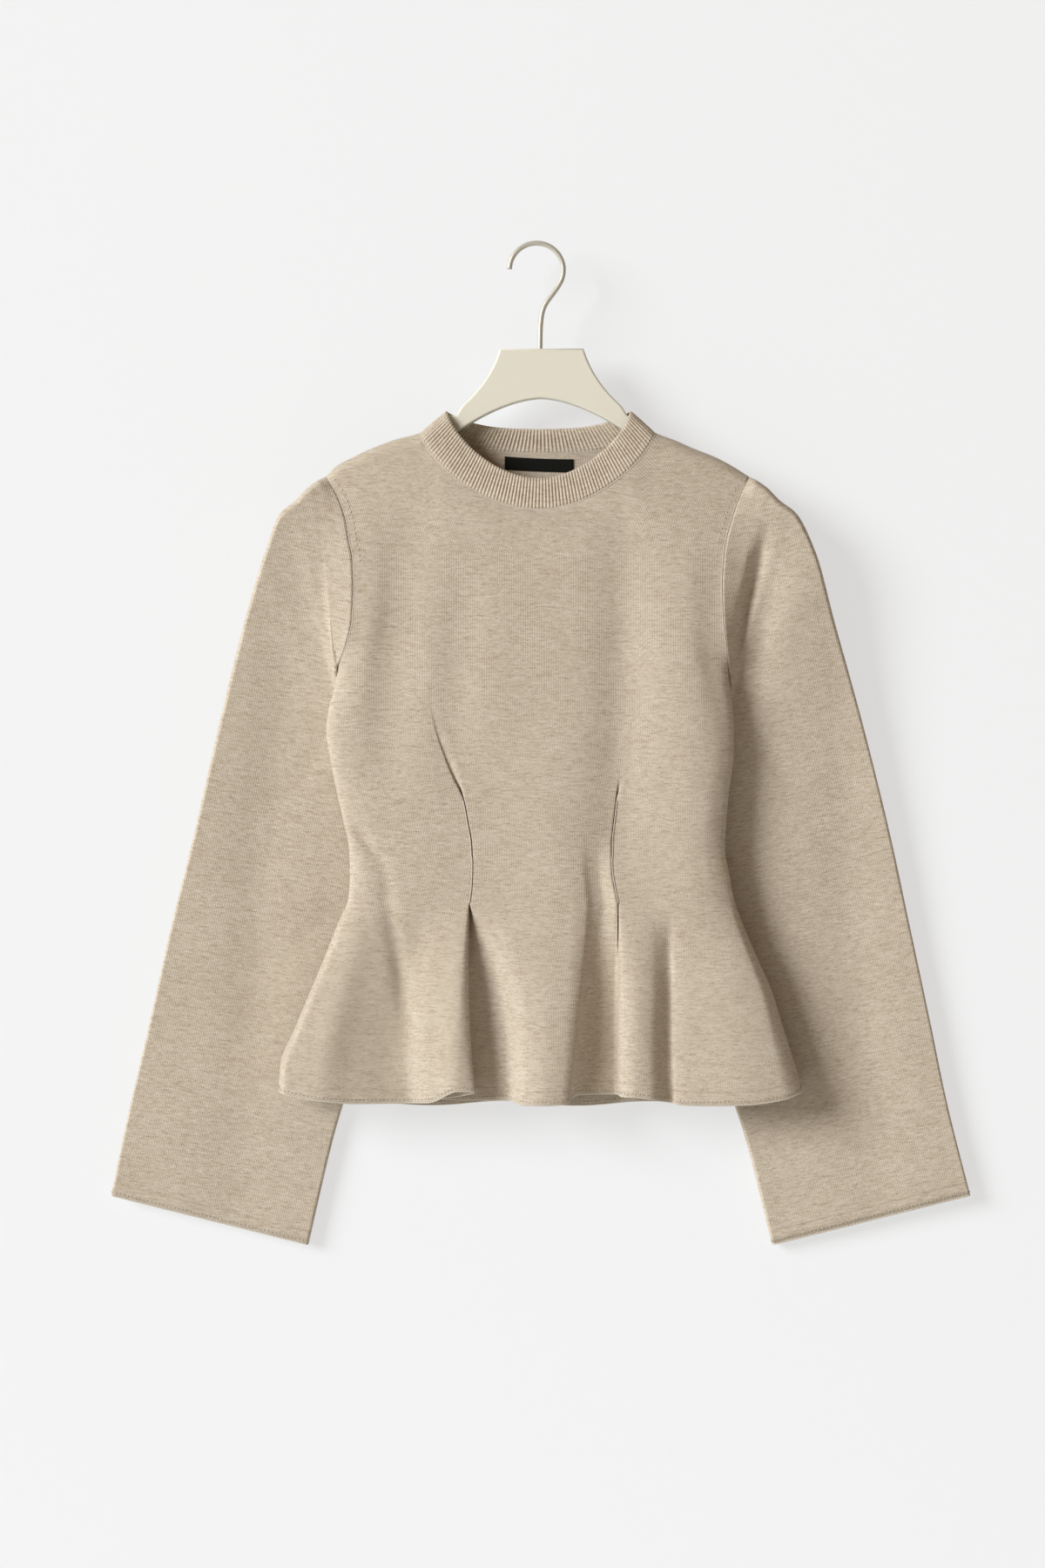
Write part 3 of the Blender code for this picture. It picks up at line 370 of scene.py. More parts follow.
FLOOR_HALF = 5.0
WALL_HALF = 2.0
FILL_COLOUR = (1.0, 0.68, 0.38, 1.0)
SKY_COLOUR = (0.86, 0.87, 0.87, 1.0)
LAMP_SIZE = 8.75
LAMP_COLOUR = (0.975, 1.0, 1.0)
LAMP_AIM = (0, 0, -0.45)
KEY_PLACE = (-13.60, -9.90, 4.70)
BACK_LIGHT_PLACE = (-5.00, 14.00, 5.00)
CAMERA_PLACE = (-0.0148, -3.0, -0.4573)
CAMERA_LENS = 81.08
CAMERA_SENSOR = 36

# A crease is a soft trough (depth above 0) or ridge (below 0) along a line of x and z.
Crease = namedtuple("Crease", "line depth width")
FRONT_CREASES = (
    Crease(((-0.1110, -0.215), (-0.1162, -0.2945), (-0.1243, -0.376), (-0.1340, -0.470)),
           0.0040, 0.0230),
    Crease(((-0.1400, -0.270), (-0.1480, -0.340), (-0.1560, -0.420)), -0.0012, 0.0120),
    Crease(((-0.0629, -0.250), (-0.0681, -0.339), (-0.0740, -0.4055), (-0.0660, -0.470)),
           0.0022, 0.0190),
    Crease(((0.0710, -0.205), (0.0710, -0.309), (0.0696, -0.383), (0.0660, -0.457),
            (0.0640, -0.560)),
           0.0046, 0.0210),
    Crease(((0.1220, -0.250), (0.1260, -0.330), (0.1330, -0.430), (0.1360, -0.600)),
           -0.0060, 0.0360),
    Crease(((0.0050, -0.400), (0.0120, -0.480), (0.0200, -0.600)), -0.0030, 0.0340),
    Crease(((0.1380, -0.325), (0.1460, -0.365), (0.1545, -0.415)), 0.0012, 0.0080),
    Crease(((-0.1640, -0.484), (-0.1500, -0.502), (-0.1330, -0.526)), 0.0024, 0.0050),
    Crease(((-0.1340, -0.508), (-0.1285, -0.560), (-0.1195, -0.606), (-0.1105, -0.660),
            (-0.1070, -0.745)),
           0.0030, 0.0070),
    Crease(((-0.1540, -0.545), (-0.1600, -0.600), (-0.1750, -0.660), (-0.1880, -0.740)),
           -0.0020, 0.0150),
    Crease(((0.0900, -0.545), (0.1060, -0.590), (0.1105, -0.640), (0.1115, -0.745)),
           0.0016, 0.0090),
)
BACK_CREASES = (
    Crease(((0.1200, -0.290), (0.1330, -0.350), (0.1400, -0.420)), 0.0015, 0.0090),
    Crease(((-0.1210, -0.300), (-0.1360, -0.365), (-0.1450, -0.430)), 0.0013, 0.0080),
    Crease(((0.1560, -0.500), (0.1300, -0.540), (0.1180, -0.620), (0.1120, -0.700)),
           0.0022, 0.0095),
    Crease(((-0.1520, -0.510), (-0.1290, -0.560), (-0.1330, -0.640)), 0.0018, 0.0085),
    Crease(((0.0200, -0.520), (0.0270, -0.600), (0.0300, -0.690)), 0.0014, 0.0110),
)
SLEEVE_CREASES = {
    -1: (
        Crease(((-0.2080, -0.250), (-0.2130, -0.340), (-0.2370, -0.530), (-0.2590, -0.850)),
               0.0026, 0.0240),
        Crease(((-0.1840, -0.420), (-0.2010, -0.450), (-0.2190, -0.470)), 0.0010, 0.0090),
        Crease(((-0.1640, -0.560), (-0.1880, -0.580), (-0.2120, -0.592)), 0.0009, 0.0110),
        Crease(((-0.1850, -0.240), (-0.1820, -0.290), (-0.1760, -0.360)), 0.0016, 0.0080),
    ),
    1: (
        Crease(((0.2350, -0.240), (0.2520, -0.310), (0.2680, -0.590), (0.2960, -0.850)),
               0.0026, 0.0240),
        Crease(((0.1750, -0.400), (0.1960, -0.436), (0.2160, -0.462)), 0.0010, 0.0090),
        Crease(((0.1900, -0.600), (0.2140, -0.626), (0.2360, -0.640)), 0.0009, 0.0110),
        Crease(((0.1915, -0.245), (0.1750, -0.305), (0.1670, -0.345), (0.1625, -0.385)),
               0.0095, 0.0066),
        Crease(((0.1985, -0.250), (0.1920, -0.290), (0.1840, -0.335), (0.1740, -0.400)),
               0.0040, 0.0150),
    ),
}
SLEEVE_BACK_CREASES = {
    -1: (
        Crease(((-0.2200, -0.300), (-0.2450, -0.450), (-0.2700, -0.820)), 0.0020, 0.0210),
        Crease(((-0.1800, -0.430), (-0.2050, -0.455), (-0.2280, -0.462)), 0.0011, 0.0100),
    ),
    1: (
        Crease(((0.2150, -0.290), (0.2330, -0.440), (0.2640, -0.800)), 0.0022, 0.0200),
        Crease(((0.1780, -0.425), (0.2000, -0.449), (0.2260, -0.480)), 0.0012, 0.0090),
    ),
}


class KnitSettings(bpy.types.PropertyGroup):
    """Colours of the yarn and size of a stitch"""

    colour: FloatVectorProperty(
        name="Colour", description="Middle colour of the yarn", subtype="COLOR", size=3,
        min=0, max=1, default=(0.562, 0.489, 0.395))
    pale: FloatVectorProperty(
        name="Pale fibres", description="Colour of the palest fibres", subtype="COLOR", size=3,
        min=0, max=1, default=(0.745, 0.685, 0.592))
    # The dark fibre colour also paints the shade in the knit's grooves, along the hem's line and in
    # the gaps between linking stitches.
    dark: FloatVectorProperty(
        name="Dark fibres", description="Colour of the darkest fibres", subtype="COLOR", size=3,
        min=0, max=1, default=(0.250, 0.175, 0.112))
    wale: FloatProperty(
        name="Wale", description="Width of one column of stitches", subtype="DISTANCE",
        unit="LENGTH", default=0.00145, min=0.0005, max=0.01)
    course: FloatProperty(
        name="Course", description="Height of one row of stitches", subtype="DISTANCE",
        unit="LENGTH", default=0.00110, min=0.0004, max=0.01)


class SeamSettings(bpy.types.PropertyGroup):
    """Linked edges and their stitches"""

    roll: FloatProperty(
        name="Edge roll", description="Radius of the linked edge at hem and cuffs",
        subtype="DISTANCE", unit="LENGTH", default=0.0010, min=0.0003, max=0.005)
    pitch: FloatProperty(
        name="Stitch spacing", description="Distance from one linking stitch to the next",
        subtype="DISTANCE", unit="LENGTH", default=0.0034, min=0.001, max=0.02)


class BandSettings(bpy.types.PropertyGroup):
    """Ribs of the neckband"""

    relief: FloatProperty(
        name="Rib relief", description="Height of a rib over the groove beside it",
        subtype="DISTANCE", unit="LENGTH", default=0.0010, min=0.0, max=0.004)


class HangerSettings(bpy.types.PropertyGroup):
    """Colours of the hanger"""

    body: FloatVectorProperty(
        name="Hanger", description="Colour of the moulded body", subtype="COLOR", size=3,
        min=0, max=1, default=(0.740, 0.712, 0.615))
    wire: FloatVectorProperty(
        name="Hook", description="Colour of the painted wire", subtype="COLOR", size=3,
        min=0, max=1, default=(0.560, 0.535, 0.460))


class StageSettings(bpy.types.PropertyGroup):
    """Wall, floor and lights"""

    wall_gap: FloatProperty(
        name="Wall", description="Distance of the wall behind the hanger", subtype="DISTANCE",
        unit="LENGTH", default=0.036, min=0.035, max=1.0)
    floor: FloatProperty(
        name="Floor", description="Height of the floor", subtype="DISTANCE", unit="LENGTH",
        default=-1.35, min=-3.0, max=-0.9)
    key: FloatProperty(
        name="Key light", description="Power of the large soft light", subtype="POWER",
        unit="POWER", default=3940.0, min=0.0, max=20000.0)
    back: FloatProperty(
        name="Back light", description="Power of the soft light that shows the back",
        subtype="POWER", unit="POWER", default=1200.0, min=0.0, max=20000.0)
    sky: FloatProperty(
        name="Fill", description="Strength of the even light from all sides",
        default=0.19, min=0.0, max=5.0)
    glow: FloatProperty(
        name="Wall glow", description="Part of the wall's brightness that shadows don't dim",
        default=0.60, min=0.0, max=1.0)


# Curves and surfaces


def smooth(at, xs, ys):
    """A curve through table columns that never overshoots between two rows."""
    xs = np.asarray(xs, float)
    ys = np.asarray(ys, float)
    order = np.argsort(xs)
    xs = xs[order]
    ys = ys[order]
    width = np.diff(xs)
    slope = np.diff(ys) / width
    product = slope[:-1] * slope[1:]
    total = np.where(product > 0, slope[:-1] + slope[1:], 1.0)
    inner = np.where(product > 0, 2 * product / total, 0.0)
    tangent = np.concatenate([slope[:1], inner, slope[-1:]])
    at = np.asarray(at, float)
    row = np.clip(np.searchsorted(xs, at, side="right") - 1, 0, len(width) - 1)
    t = np.clip((at - xs[row]) / width[row], 0, 1)
    start = (1 + 2 * t) * (1 - t) ** 2 * ys[row] + t * (1 - t) ** 2 * width[row] * tangent[row]
    end = t**2 * (3 - 2 * t) * ys[row + 1] - t**2 * (1 - t) * width[row] * tangent[row + 1]
    return start + end


def column(table, name):
    return [getattr(row, name) for row in table]


def read(table, name, z):
    return smooth(z, column(table, "z"), column(table, name))


def ease(low, high, value):
    t = np.clip((np.asarray(value, float) - low) / (high - low), 0, 1)
    return t * t * (3 - 2 * t)


def unit(vectors):
    return vectors / np.maximum(np.linalg.norm(vectors, axis=-1, keepdims=True), 1e-12)


def crest_height(x):
    left = smooth(-x, [-row.left for row in CREST], column(CREST, "z"))
    right = smooth(x, column(CREST, "right"), column(CREST, "z"))
    return np.where(np.asarray(x) < 0, left, right)


def hang_depth(x, z):
    """Distance from the hanger's plane of cloth that turns over the shoulder and falls."""
    drop = np.maximum(crest_height(x) - z, 0)
    turn = np.minimum(drop, SHOULDER_ROUND)
    round_part = np.sqrt(2 * SHOULDER_ROUND * turn - turn**2)
    return round_part + np.maximum(drop - SHOULDER_ROUND, 0) * SHOULDER_LEAN


def panel_y(x, z, side):
    """Outer face of the front (side -1) or back (side 1), without its folds."""
    name = "front" if side < 0 else "back"
    hang = hang_depth(x, z)
    body = read(BODY_DEPTHS, name, z)
    depth = -DEPTH_BLEND * np.logaddexp(-hang / DEPTH_BLEND, -body / DEPTH_BLEND)
    depth = np.maximum(depth, 0)
    left = read(BODY_EDGES, "left", z)
    right = read(BODY_EDGES, "right", z)
    across = np.clip(2 * (x - left) / (right - left) - 1, -1, 1)
    above = ease(UNDERARM_Z, ARMHOLE_CUT_Z, z)
    across = np.abs(across) * (1 - ARMHOLE_CUT * above)
    share = (1 - across**SIDE_ROUNDING) ** (1 / SIDE_ROUNDING)
    return side * (SEAM_GAP / 2 + depth * share) + SIDE_SEAM_Y * (1 - share) * (1 - above)


def panel_normal(x, z, side):
    """Direction out of a panel's outer face, also at its seams, where the face turns over."""
    left = read(BODY_EDGES, "left", z)
    right = read(BODY_EDGES, "right", z)
    inside_x = np.clip(x, left + 2 * NORMAL_STEP, right - 2 * NORMAL_STEP)
    inside_z = np.minimum(z, crest_height(inside_x) - 2 * NORMAL_STEP)
    ahead = panel_y(inside_x + NORMAL_STEP, inside_z, side)
    behind = panel_y(inside_x - NORMAL_STEP, inside_z, side)
    over = panel_y(inside_x, inside_z + NORMAL_STEP, side)
    under = panel_y(inside_x, inside_z - NORMAL_STEP, side)
    out = np.stack([-side * (ahead - behind), np.full(len(x), side * 2 * NORMAL_STEP),
                    -side * (over - under)], axis=1)
    fall = crest_height(x + NORMAL_STEP) - crest_height(x - NORMAL_STEP)
    turned = np.stack([-fall, 0 * fall, 0 * fall + 2 * NORMAL_STEP], axis=1)
    at_crest = crest_height(x) - z < NORMAL_STEP
    out[at_crest] = turned[at_crest]
    out[z < UNDERARM_Z + NORMAL_STEP, 1] = 0
    return unit(out)


def neck_half(loop, drop, belly, fullness, steps):
    """Half of a neck loop from the left shoulder to the right one, as x and z."""
    across = -np.cos(np.linspace(0, np.pi, steps))
    middle = (loop.left + loop.right) / 2
    half = (loop.right - loop.left) / 2
    z = loop.shoulder_z - drop * (1 - np.abs(across) ** belly) ** fullness
    return middle + half * across, z


def front_neck(loop):
    return neck_half(loop, loop.front_drop, NECK_FRONT_BELLY, NECK_FRONT_FULLNESS, NECK_SAMPLES)


def back_neck(loop):
    return neck_half(loop, loop.back_drop, NECK_BACK_FLATNESS, 1.0, NECK_SAMPLES)


def run_of(points):
    """Distance run along a row of points, from its first one."""
    steps = np.linalg.norm(np.diff(points, axis=0), axis=1)
    return np.concatenate([[0], np.cumsum(steps)])


def along(points, shares):
    """Points at these shares of a polyline's length, with any further columns they carry."""
    run = run_of(points[:, :3])
    return np.stack([np.interp(shares, run / run[-1], c) for c in points.T], axis=1)


def shoulder_line(side, steps):
    inner = NECK_SEAM.left if side < 0 else NECK_SEAM.right
    outer = BODY_EDGES[-1].left if side < 0 else BODY_EDGES[-1].right
    x = np.linspace(outer, inner, steps)
    return np.stack([x, crest_height(x)], axis=1)


def top_edge(index, neck):
    """Top ends of a panel's columns, numbered as in the solids: shoulder, neckline, shoulder."""
    last = index[-1]
    even = np.clip((index - SHOULDER_COLUMNS) / (last - 2 * SHOULDER_COLUMNS), 0, 1)
    crowded = even - NECK_CROWDING * np.sin(2 * np.pi * even) / (2 * np.pi)
    left = along(shoulder_line(-1, 40), np.clip(index / SHOULDER_COLUMNS, 0, 1))
    right = along(shoulder_line(1, 40), np.clip((last - index) / SHOULDER_COLUMNS, 0, 1))
    middle = along(np.stack(neck, axis=1), crowded)
    edge = np.where((index < SHOULDER_COLUMNS)[:, None], left, middle)
    return np.where((index > last - SHOULDER_COLUMNS)[:, None], right, edge)


def across_body(shares, z):
    left = read(BODY_EDGES, "left", z)
    right = read(BODY_EDGES, "right", z)
    return left + shares * (right - left)


def upper_rows(shares, index, neck, side):
    """Rows from above the yoke line to the top edge, for columns at these shares."""
    top = top_edge(index, neck)
    shift = top[:, 0] - across_body(shares, top[:, 1])
    rows = []
    for rise in 1 - np.linspace(1, 0, YOKE_ROWS)[1:] ** 2.2:
        z = YOKE_Z + rise * (top[:, 1] - YOKE_Z)
        x = across_body(shares, z) + rise**2 * shift
        rows.append(np.stack([x, panel_y(x, z, side), z], axis=1))
    return rows


def numbered(counts):
    """Column numbers with this many steps between each two of the solid's columns."""
    index = []
    for number, count in enumerate(counts):
        index += [number + step / count for step in range(count)]
    return np.array(index + [len(counts)], float)


def finer(values, run, index):
    """Values of a row's columns, read between them."""
    whole = np.minimum(index.astype(int), len(run) - 2)
    at = run[whole] + (index - whole) * np.diff(run)[whole]
    return smooth(at, run, values)


def tuck_section(z, side):
    """Seven places across a tuck at height z: x, and how far each lies behind the panel."""
    line = read(TUCK_LINES, "left" if side < 0 else "right", z)
    depth = read(TUCK_OPENINGS, "depth", z)
    half = read(TUCK_OPENINGS, "half_width", z)
    closed = read(TUCK_OPENINGS, "closed", z)
    if side > 0:
        depth = depth * ease(*RIGHT_TUCK_FADE, z)
    places = []
    for row in TUCK_PROFILE:
        rim = row.closed_x is None
        closed_x = np.sign(row.open_x) * half if rim else row.closed_x * TUCK_SLIT
        x = closed * closed_x + (1 - closed) * row.open_x * half
        y = depth * (closed * row.closed_y + (1 - closed) * row.open_y)
        places.append((line + x, y))
    return places


def front_row(z):
    """x of the solid's columns on a level row, and how far each lies behind the panel."""
    left = float(read(BODY_EDGES, "left", z))
    right = float(read(BODY_EDGES, "right", z))
    tucks = [tuck_section(z, side) for side in (-1, 1)]
    first = float(read(TUCK_LINES, "left", z))
    second = float(read(TUCK_LINES, "right", z))
    xs = [left + fold.at * (first - left) for fold in LEFT_FOLDS]
    xs += [x for x, behind in tucks[0]]
    xs += [first + fold.at * (second - first) for fold in CENTRE_FOLDS]
    xs += [x for x, behind in tucks[1]]
    xs += [second + fold.at * (right - second) for fold in RIGHT_FOLDS]
    behind = [0.0] * len(LEFT_FOLDS)
    behind += [back for x, back in tucks[0]]
    furrow = FURROW_DEPTH * ease(FURROW_TOP_Z, WAIST_Z, z)
    for fold in CENTRE_FOLDS:
        behind.append(furrow * np.exp(-((fold.at - FURROW_AT) / FURROW_WIDTH) ** 2))
    behind += [back for x, back in tucks[1]]
    behind += [0.0] * len(RIGHT_FOLDS)
    return np.array(xs, float), np.array(behind, float)


def fine_front_row(z, index):
    xs, behind = front_row(z)
    run = run_of(np.stack([xs, panel_y(xs, z, -1) + behind], axis=1))
    x = finer(xs, run, index)
    return x, panel_y(x, z, -1) + finer(behind, run, index)


def front_counts():
    """Steps between the front's columns, from the widest that each gap between them gets."""
    widest = np.zeros(len(FRONT_FOLDS) - 1)
    hem = np.array([(fold.hem_x, fold.hem_y, fold.hem_z) for fold in FRONT_FOLDS])
    rows = [hem]
    for z in (WAIST_Z, -0.47, -0.40, YOKE_Z):
        xs, behind = front_row(z)
        rows.append(np.stack([xs, panel_y(xs, z, -1) + behind, 0 * xs], axis=1))
    rows.append(top_edge(np.arange(len(FRONT_FOLDS), dtype=float), front_neck(NECK_SEAM)))
    for row in rows:
        widest = np.maximum(widest, np.diff(run_of(row)))
    return np.maximum(np.ceil(widest / PANEL_STEP).astype(int), 3)


def front_rows():
    """Outer face of the front panel, row by row from the hem up, as an array of points."""
    index = numbered(front_counts())
    waist = np.stack(fine_front_row(WAIST_Z, index), axis=1)
    mid_anchor = np.array([(fold.mid_x, fold.mid_y) for fold in FRONT_FOLDS])
    hem_anchor = np.array([(fold.hem_x, fold.hem_y) for fold in FRONT_FOLDS])
    mid = np.stack([finer(c, run_of(mid_anchor), index) for c in mid_anchor.T], axis=1)
    hem = np.stack([finer(c, run_of(hem_anchor), index) for c in hem_anchor.T], axis=1)
    hem_levels = np.array(column(FRONT_FOLDS, "hem_z"))
    hem_z = finer(hem_levels, run_of(hem_anchor), index)
    share = (WAIST_Z - MID_PEPLUM_Z) / (WAIST_Z - hem_levels.mean())
    across = (waist[:, 0] - waist[0, 0]) / (waist[-1, 0] - waist[0, 0])
    rows = []
    for s in np.linspace(1, 0, PEPLUM_ROWS):
        at_waist = (s - share) * (s - 1) / share
        at_mid = s * (s - 1) / (share * (share - 1))
        at_hem = s * (s - share) / (1 - share)
        place = at_waist * waist + at_mid * mid + at_hem * hem
        z = WAIST_Z + s * (hem_z - WAIST_Z)
        for edge, name, near in ((0, "left", 1 - 3 * across), (-1, "right", 3 * across - 2)):
            off = read(BODY_EDGES, name, z[edge]) - place[edge, 0]
            place[:, 0] += off * np.maximum(near, 0)
        rows.append(np.stack([place[:, 0], place[:, 1], z], axis=1))
    for level in np.linspace(WAIST_Z, YOKE_Z, CHEST_ROWS)[1:]:
        x, y = fine_front_row(level, index)
        rows.append(np.stack([x, y, np.full(len(x), level)], axis=1))
    x = rows[-1][:, 0]
    shares = (x - x[0]) / (x[-1] - x[0])
    rows += upper_rows(shares, index, front_neck(NECK_SEAM), -1)
    centre = int(np.argmin(np.abs(index - FRONT_CENTRE)))
    return np.array(rows), centre


def back_rows():
    """Outer face of the back panel, row by row from the hem up."""
    half = list(BACK_COLUMNS)
    coarse = np.array(half + [0.5] + [1 - share for share in reversed(half)])
    counts = np.maximum(np.ceil(np.diff(coarse) * BACK_WIDTH / PANEL_STEP).astype(int), 3)
    index = numbered(counts)
    shares = np.interp(index, np.arange(len(coarse)), coarse)
    middle = np.sin(np.pi * shares)
    wave = np.cos(2 * np.pi * BACK_WAVES * shares)
    drop = BACK_HEM_DROP * ease(0, 0.2, np.minimum(shares, 1 - shares))
    drop = drop + BACK_HEM_SWING * middle * wave
    hem_z = BODY_EDGES[0].z - drop
    rows = []
    for s in np.linspace(1, 0, PEPLUM_ROWS):
        edge_z = WAIST_Z + s * (BODY_EDGES[0].z - WAIST_Z)
        x = across_body(shares, edge_z)
        y = panel_y(x, np.full(len(x), edge_z), 1)
        y = y + BACK_WAVE_DEPTH * s * wave * np.sqrt(np.maximum(middle, 0))
        rows.append(np.stack([x, y, WAIST_Z + s * (hem_z - WAIST_Z)], axis=1))
    for level in np.linspace(WAIST_Z, YOKE_Z, CHEST_ROWS)[1:]:
        x = across_body(shares, level)
        rows.append(np.stack([x, panel_y(x, level, 1), np.full(len(x), level)], axis=1))
    rows += upper_rows(shares, index, back_neck(NECK_SEAM), 1)
    return np.array(rows), len(index) // 2


def armhole(side, face, z):
    """Points of the armhole edge of the front (face -1) or back (face 1) at these heights."""
    x = read(BODY_EDGES, "left" if side < 0 else "right", z)
    return np.stack([x, panel_y(x, z, face), z], axis=1)


def flat_tube(station, side, across, face):
    """One face of a sleeve's section, from its outer fold to its inner fold."""
    name = "left" if side < 0 else "right"
    outer = np.array([getattr(station, "outer_" + name), station.outer_y, station.outer_z])
    inner = np.array([getattr(station, "inner_" + name), station.inner_y, station.inner_z])
    width = np.linalg.norm(inner - outer)
    from_fold = np.minimum(across, 1 - across) * width
    turn = np.minimum(from_fold / (FOLD_SHARPNESS * station.half), 1)
    points = outer + across[:, None] * (inner - outer)
    points[:, 1] += face * station.half * np.sqrt(1 - (1 - turn) ** 2)
    return points


def station_at(t):
    """The sleeve's station at a place between two of the table's."""
    numbers = np.arange(len(SLEEVE_STATIONS))
    columns = [column(SLEEVE_STATIONS, name) for name in Station._fields]
    return Station(*[float(smooth(t, numbers, values)) for values in columns])


def sleeve_levels():
    """Heights of the solid's armhole rows, as shares from the shoulder to the underarm."""
    rises = (0.3, 0.55, 0.75, 0.88, 0.95, 0.985, 0.9994, 1.0)
    top = BODY_EDGES[-1].z
    levels = [YOKE_Z + rise * (top - YOKE_Z) for rise in reversed(rises)]
    levels += [YOKE_Z, -0.290, -0.316, -0.338, -0.346, -0.352, -0.3575, UNDERARM_Z]
    return (top - np.array(levels)) / (top - UNDERARM_Z)


def round_the_arm(front, back):
    """A ring that starts and ends at the inner fold, from the two faces' points."""
    return np.concatenate([front[::-1], back[1:]])


def sleeve_rings(side):
    """Outer face of a sleeve, ring by ring from the armhole to the cuff."""
    places = np.linspace(0, len(SLEEVE_ACROSS) - 1, (len(SLEEVE_ACROSS) - 1) * SLEEVE_STEPS + 1)
    whole = np.arange(len(SLEEVE_ACROSS))
    seam_across = np.interp(places, whole, sleeve_levels())
    even_across = smooth(places, whole, SLEEVE_ACROSS)
    top = BODY_EDGES[-1].z
    seam_z = top - seam_across * (top - UNDERARM_Z)
    outwards = np.array([side * SEAM_GAP, 0, 0])
    seams = {face: armhole(side, face, seam_z) for face in (-1, 1)}
    rings = []
    last = len(SLEEVE_STATIONS) - 1
    early = np.linspace(-1, 4, SLEEVE_ROWS // 3)
    late = np.linspace(4, last, SLEEVE_ROWS - SLEEVE_ROWS // 3 + 1)[1:]
    for t in np.concatenate([early, late]):
        at = max(t, 0.0)
        station = station_at(at)
        even = ease(0, 5, at)
        across = (1 - even) * seam_across + even * even_across
        release = float(smooth(min(t, 4.0), np.arange(-1, 5), SLEEVE_RELEASE))
        grown = min(t + 1, 1.0)
        faces = []
        for face in (-1, 1):
            points = flat_tube(station, side, across, face)
            seam = seams[face] + outwards
            points[:, 1] = (1 - release) * seam[:, 1] + release * points[:, 1]
            points[:, 0::2] = (1 - grown) * seam[:, 0::2] + grown * points[:, 0::2]
            faces.append(points)
        rings.append(round_the_arm(*faces))
    return np.array(rings), seam_z


# Meshes


def tangents(rows, axis, closed):
    """Bisecting direction at each point along one axis of the grid."""
    rows = np.moveaxis(rows, axis, 0)
    steps = unit(np.diff(rows, axis=0))
    before = np.concatenate([steps[-1:] if closed else steps[:1], steps])
    after = np.concatenate([steps, steps[:1] if closed else steps[-1:]])
    return np.moveaxis(unit(before + after), 0, axis)


def grid_normals(rows, outward, closed):
    """Outward directions of a grid of points; closed when its last column meets its first."""
    return outward * unit(np.cross(tangents(rows, 1, closed), tangents(rows, 0, False)))


def crease_depth(x, z, creases):
    """How far each point lies in, summed over soft troughs and ridges along lines of x and z."""
    total = np.zeros_like(x)
    for crease in creases:
        line = np.array(crease.line)
        lengths = np.linalg.norm(np.diff(line, axis=0), axis=1)
        starts = np.concatenate([[0], np.cumsum(lengths)])
        nearest = np.full(x.shape, np.inf)
        place = np.zeros_like(x)
        for (a, b), start, length in zip(zip(line[:-1], line[1:]), starts, lengths):
            way = (b - a) / length
            run = np.clip((x - a[0]) * way[0] + (z - a[1]) * way[1], 0, length)
            gap = np.hypot(x - a[0] - run * way[0], z - a[1] - run * way[1])
            closer = gap < nearest
            nearest = np.where(closer, gap, nearest)
            place = np.where(closer, (start + run) / starts[-1], place)
        fade = np.sin(np.pi * np.clip(place, 0.02, 0.98)) ** 0.7
        total += crease.depth * fade * np.exp(-((nearest / crease.width) ** 2))
    return total


def sunk(x, z, creases):
    """How far the creases and a slight, slow unevenness of hanging cloth lie in."""
    slow = np.sin(31 * x + 17 * z + 0.6) * np.sin(23 * z - 9 * x + 1.9)
    quick = np.sin(71 * x - 37 * z + 2.7) * np.sin(53 * z + 19 * x + 0.3)
    return crease_depth(x, z, creases) + CLOTH_UNEVEN * (0.7 * slow + 0.3 * quick)


def shaped(name, bm, material, smooth=True):
    """A piece from its finished bmesh, at the origin, in the scene."""
    mesh = bpy.data.meshes.new(name)
    bm.to_mesh(mesh)
    bm.free()
    if smooth:
        mesh.shade_smooth()
    mesh.materials.append(material)
    thing = bpy.data.objects.new(name, mesh)
    bpy.context.scene.collection.objects.link(thing)
    return thing


def cloth(name, rows, normals, material, across, up, wall=WALL, hem=None):
    """A sheet of cloth: its outer face, and a copy of it moved inwards by the wall.

    across and up are each point's place on the flat knit, in metres, and hem is its distance
    from the finished edge.
    """
    count_up, count_across = rows.shape[:2]
    inner = rows - wall * normals
    bm = bmesh.new()
    place = bm.verts.layers.int.new("place")
    edge_distance = bm.verts.layers.float.new("hem")
    flat = bm.loops.layers.uv.new("knit")
    bmesh.ops.create_grid(bm, x_segments=count_across - 1, y_segments=count_up - 1, size=0.5)
    for vertex in bm.verts:
        column_number = round((vertex.co.x + 0.5) * (count_across - 1))
        row_number = round((vertex.co.y + 0.5) * (count_up - 1))
        vertex[place] = row_number * count_across + column_number
        vertex[edge_distance] = 1.0 if hem is None else hem[row_number, column_number]
        vertex.co = rows[row_number, column_number]
    for face in bm.faces:
        for corner in face.loops:
            at = divmod(corner.vert[place], count_across)
            corner[flat].uv = (across[at], up[at])
    bmesh.ops.remove_doubles(bm, verts=bm.verts, dist=1e-6)
    made = bmesh.ops.extrude_face_region(bm, geom=list(bm.faces))
    for item in made["geom"]:
        if isinstance(item, bmesh.types.BMVert):
            item.co = inner[divmod(item[place], count_across)]
    bmesh.ops.recalc_face_normals(bm, faces=bm.faces)
    bm.verts.layers.int.remove(place)
    return shaped(name, bm, material)


Roll = namedtuple("Roll", "line outward closed")


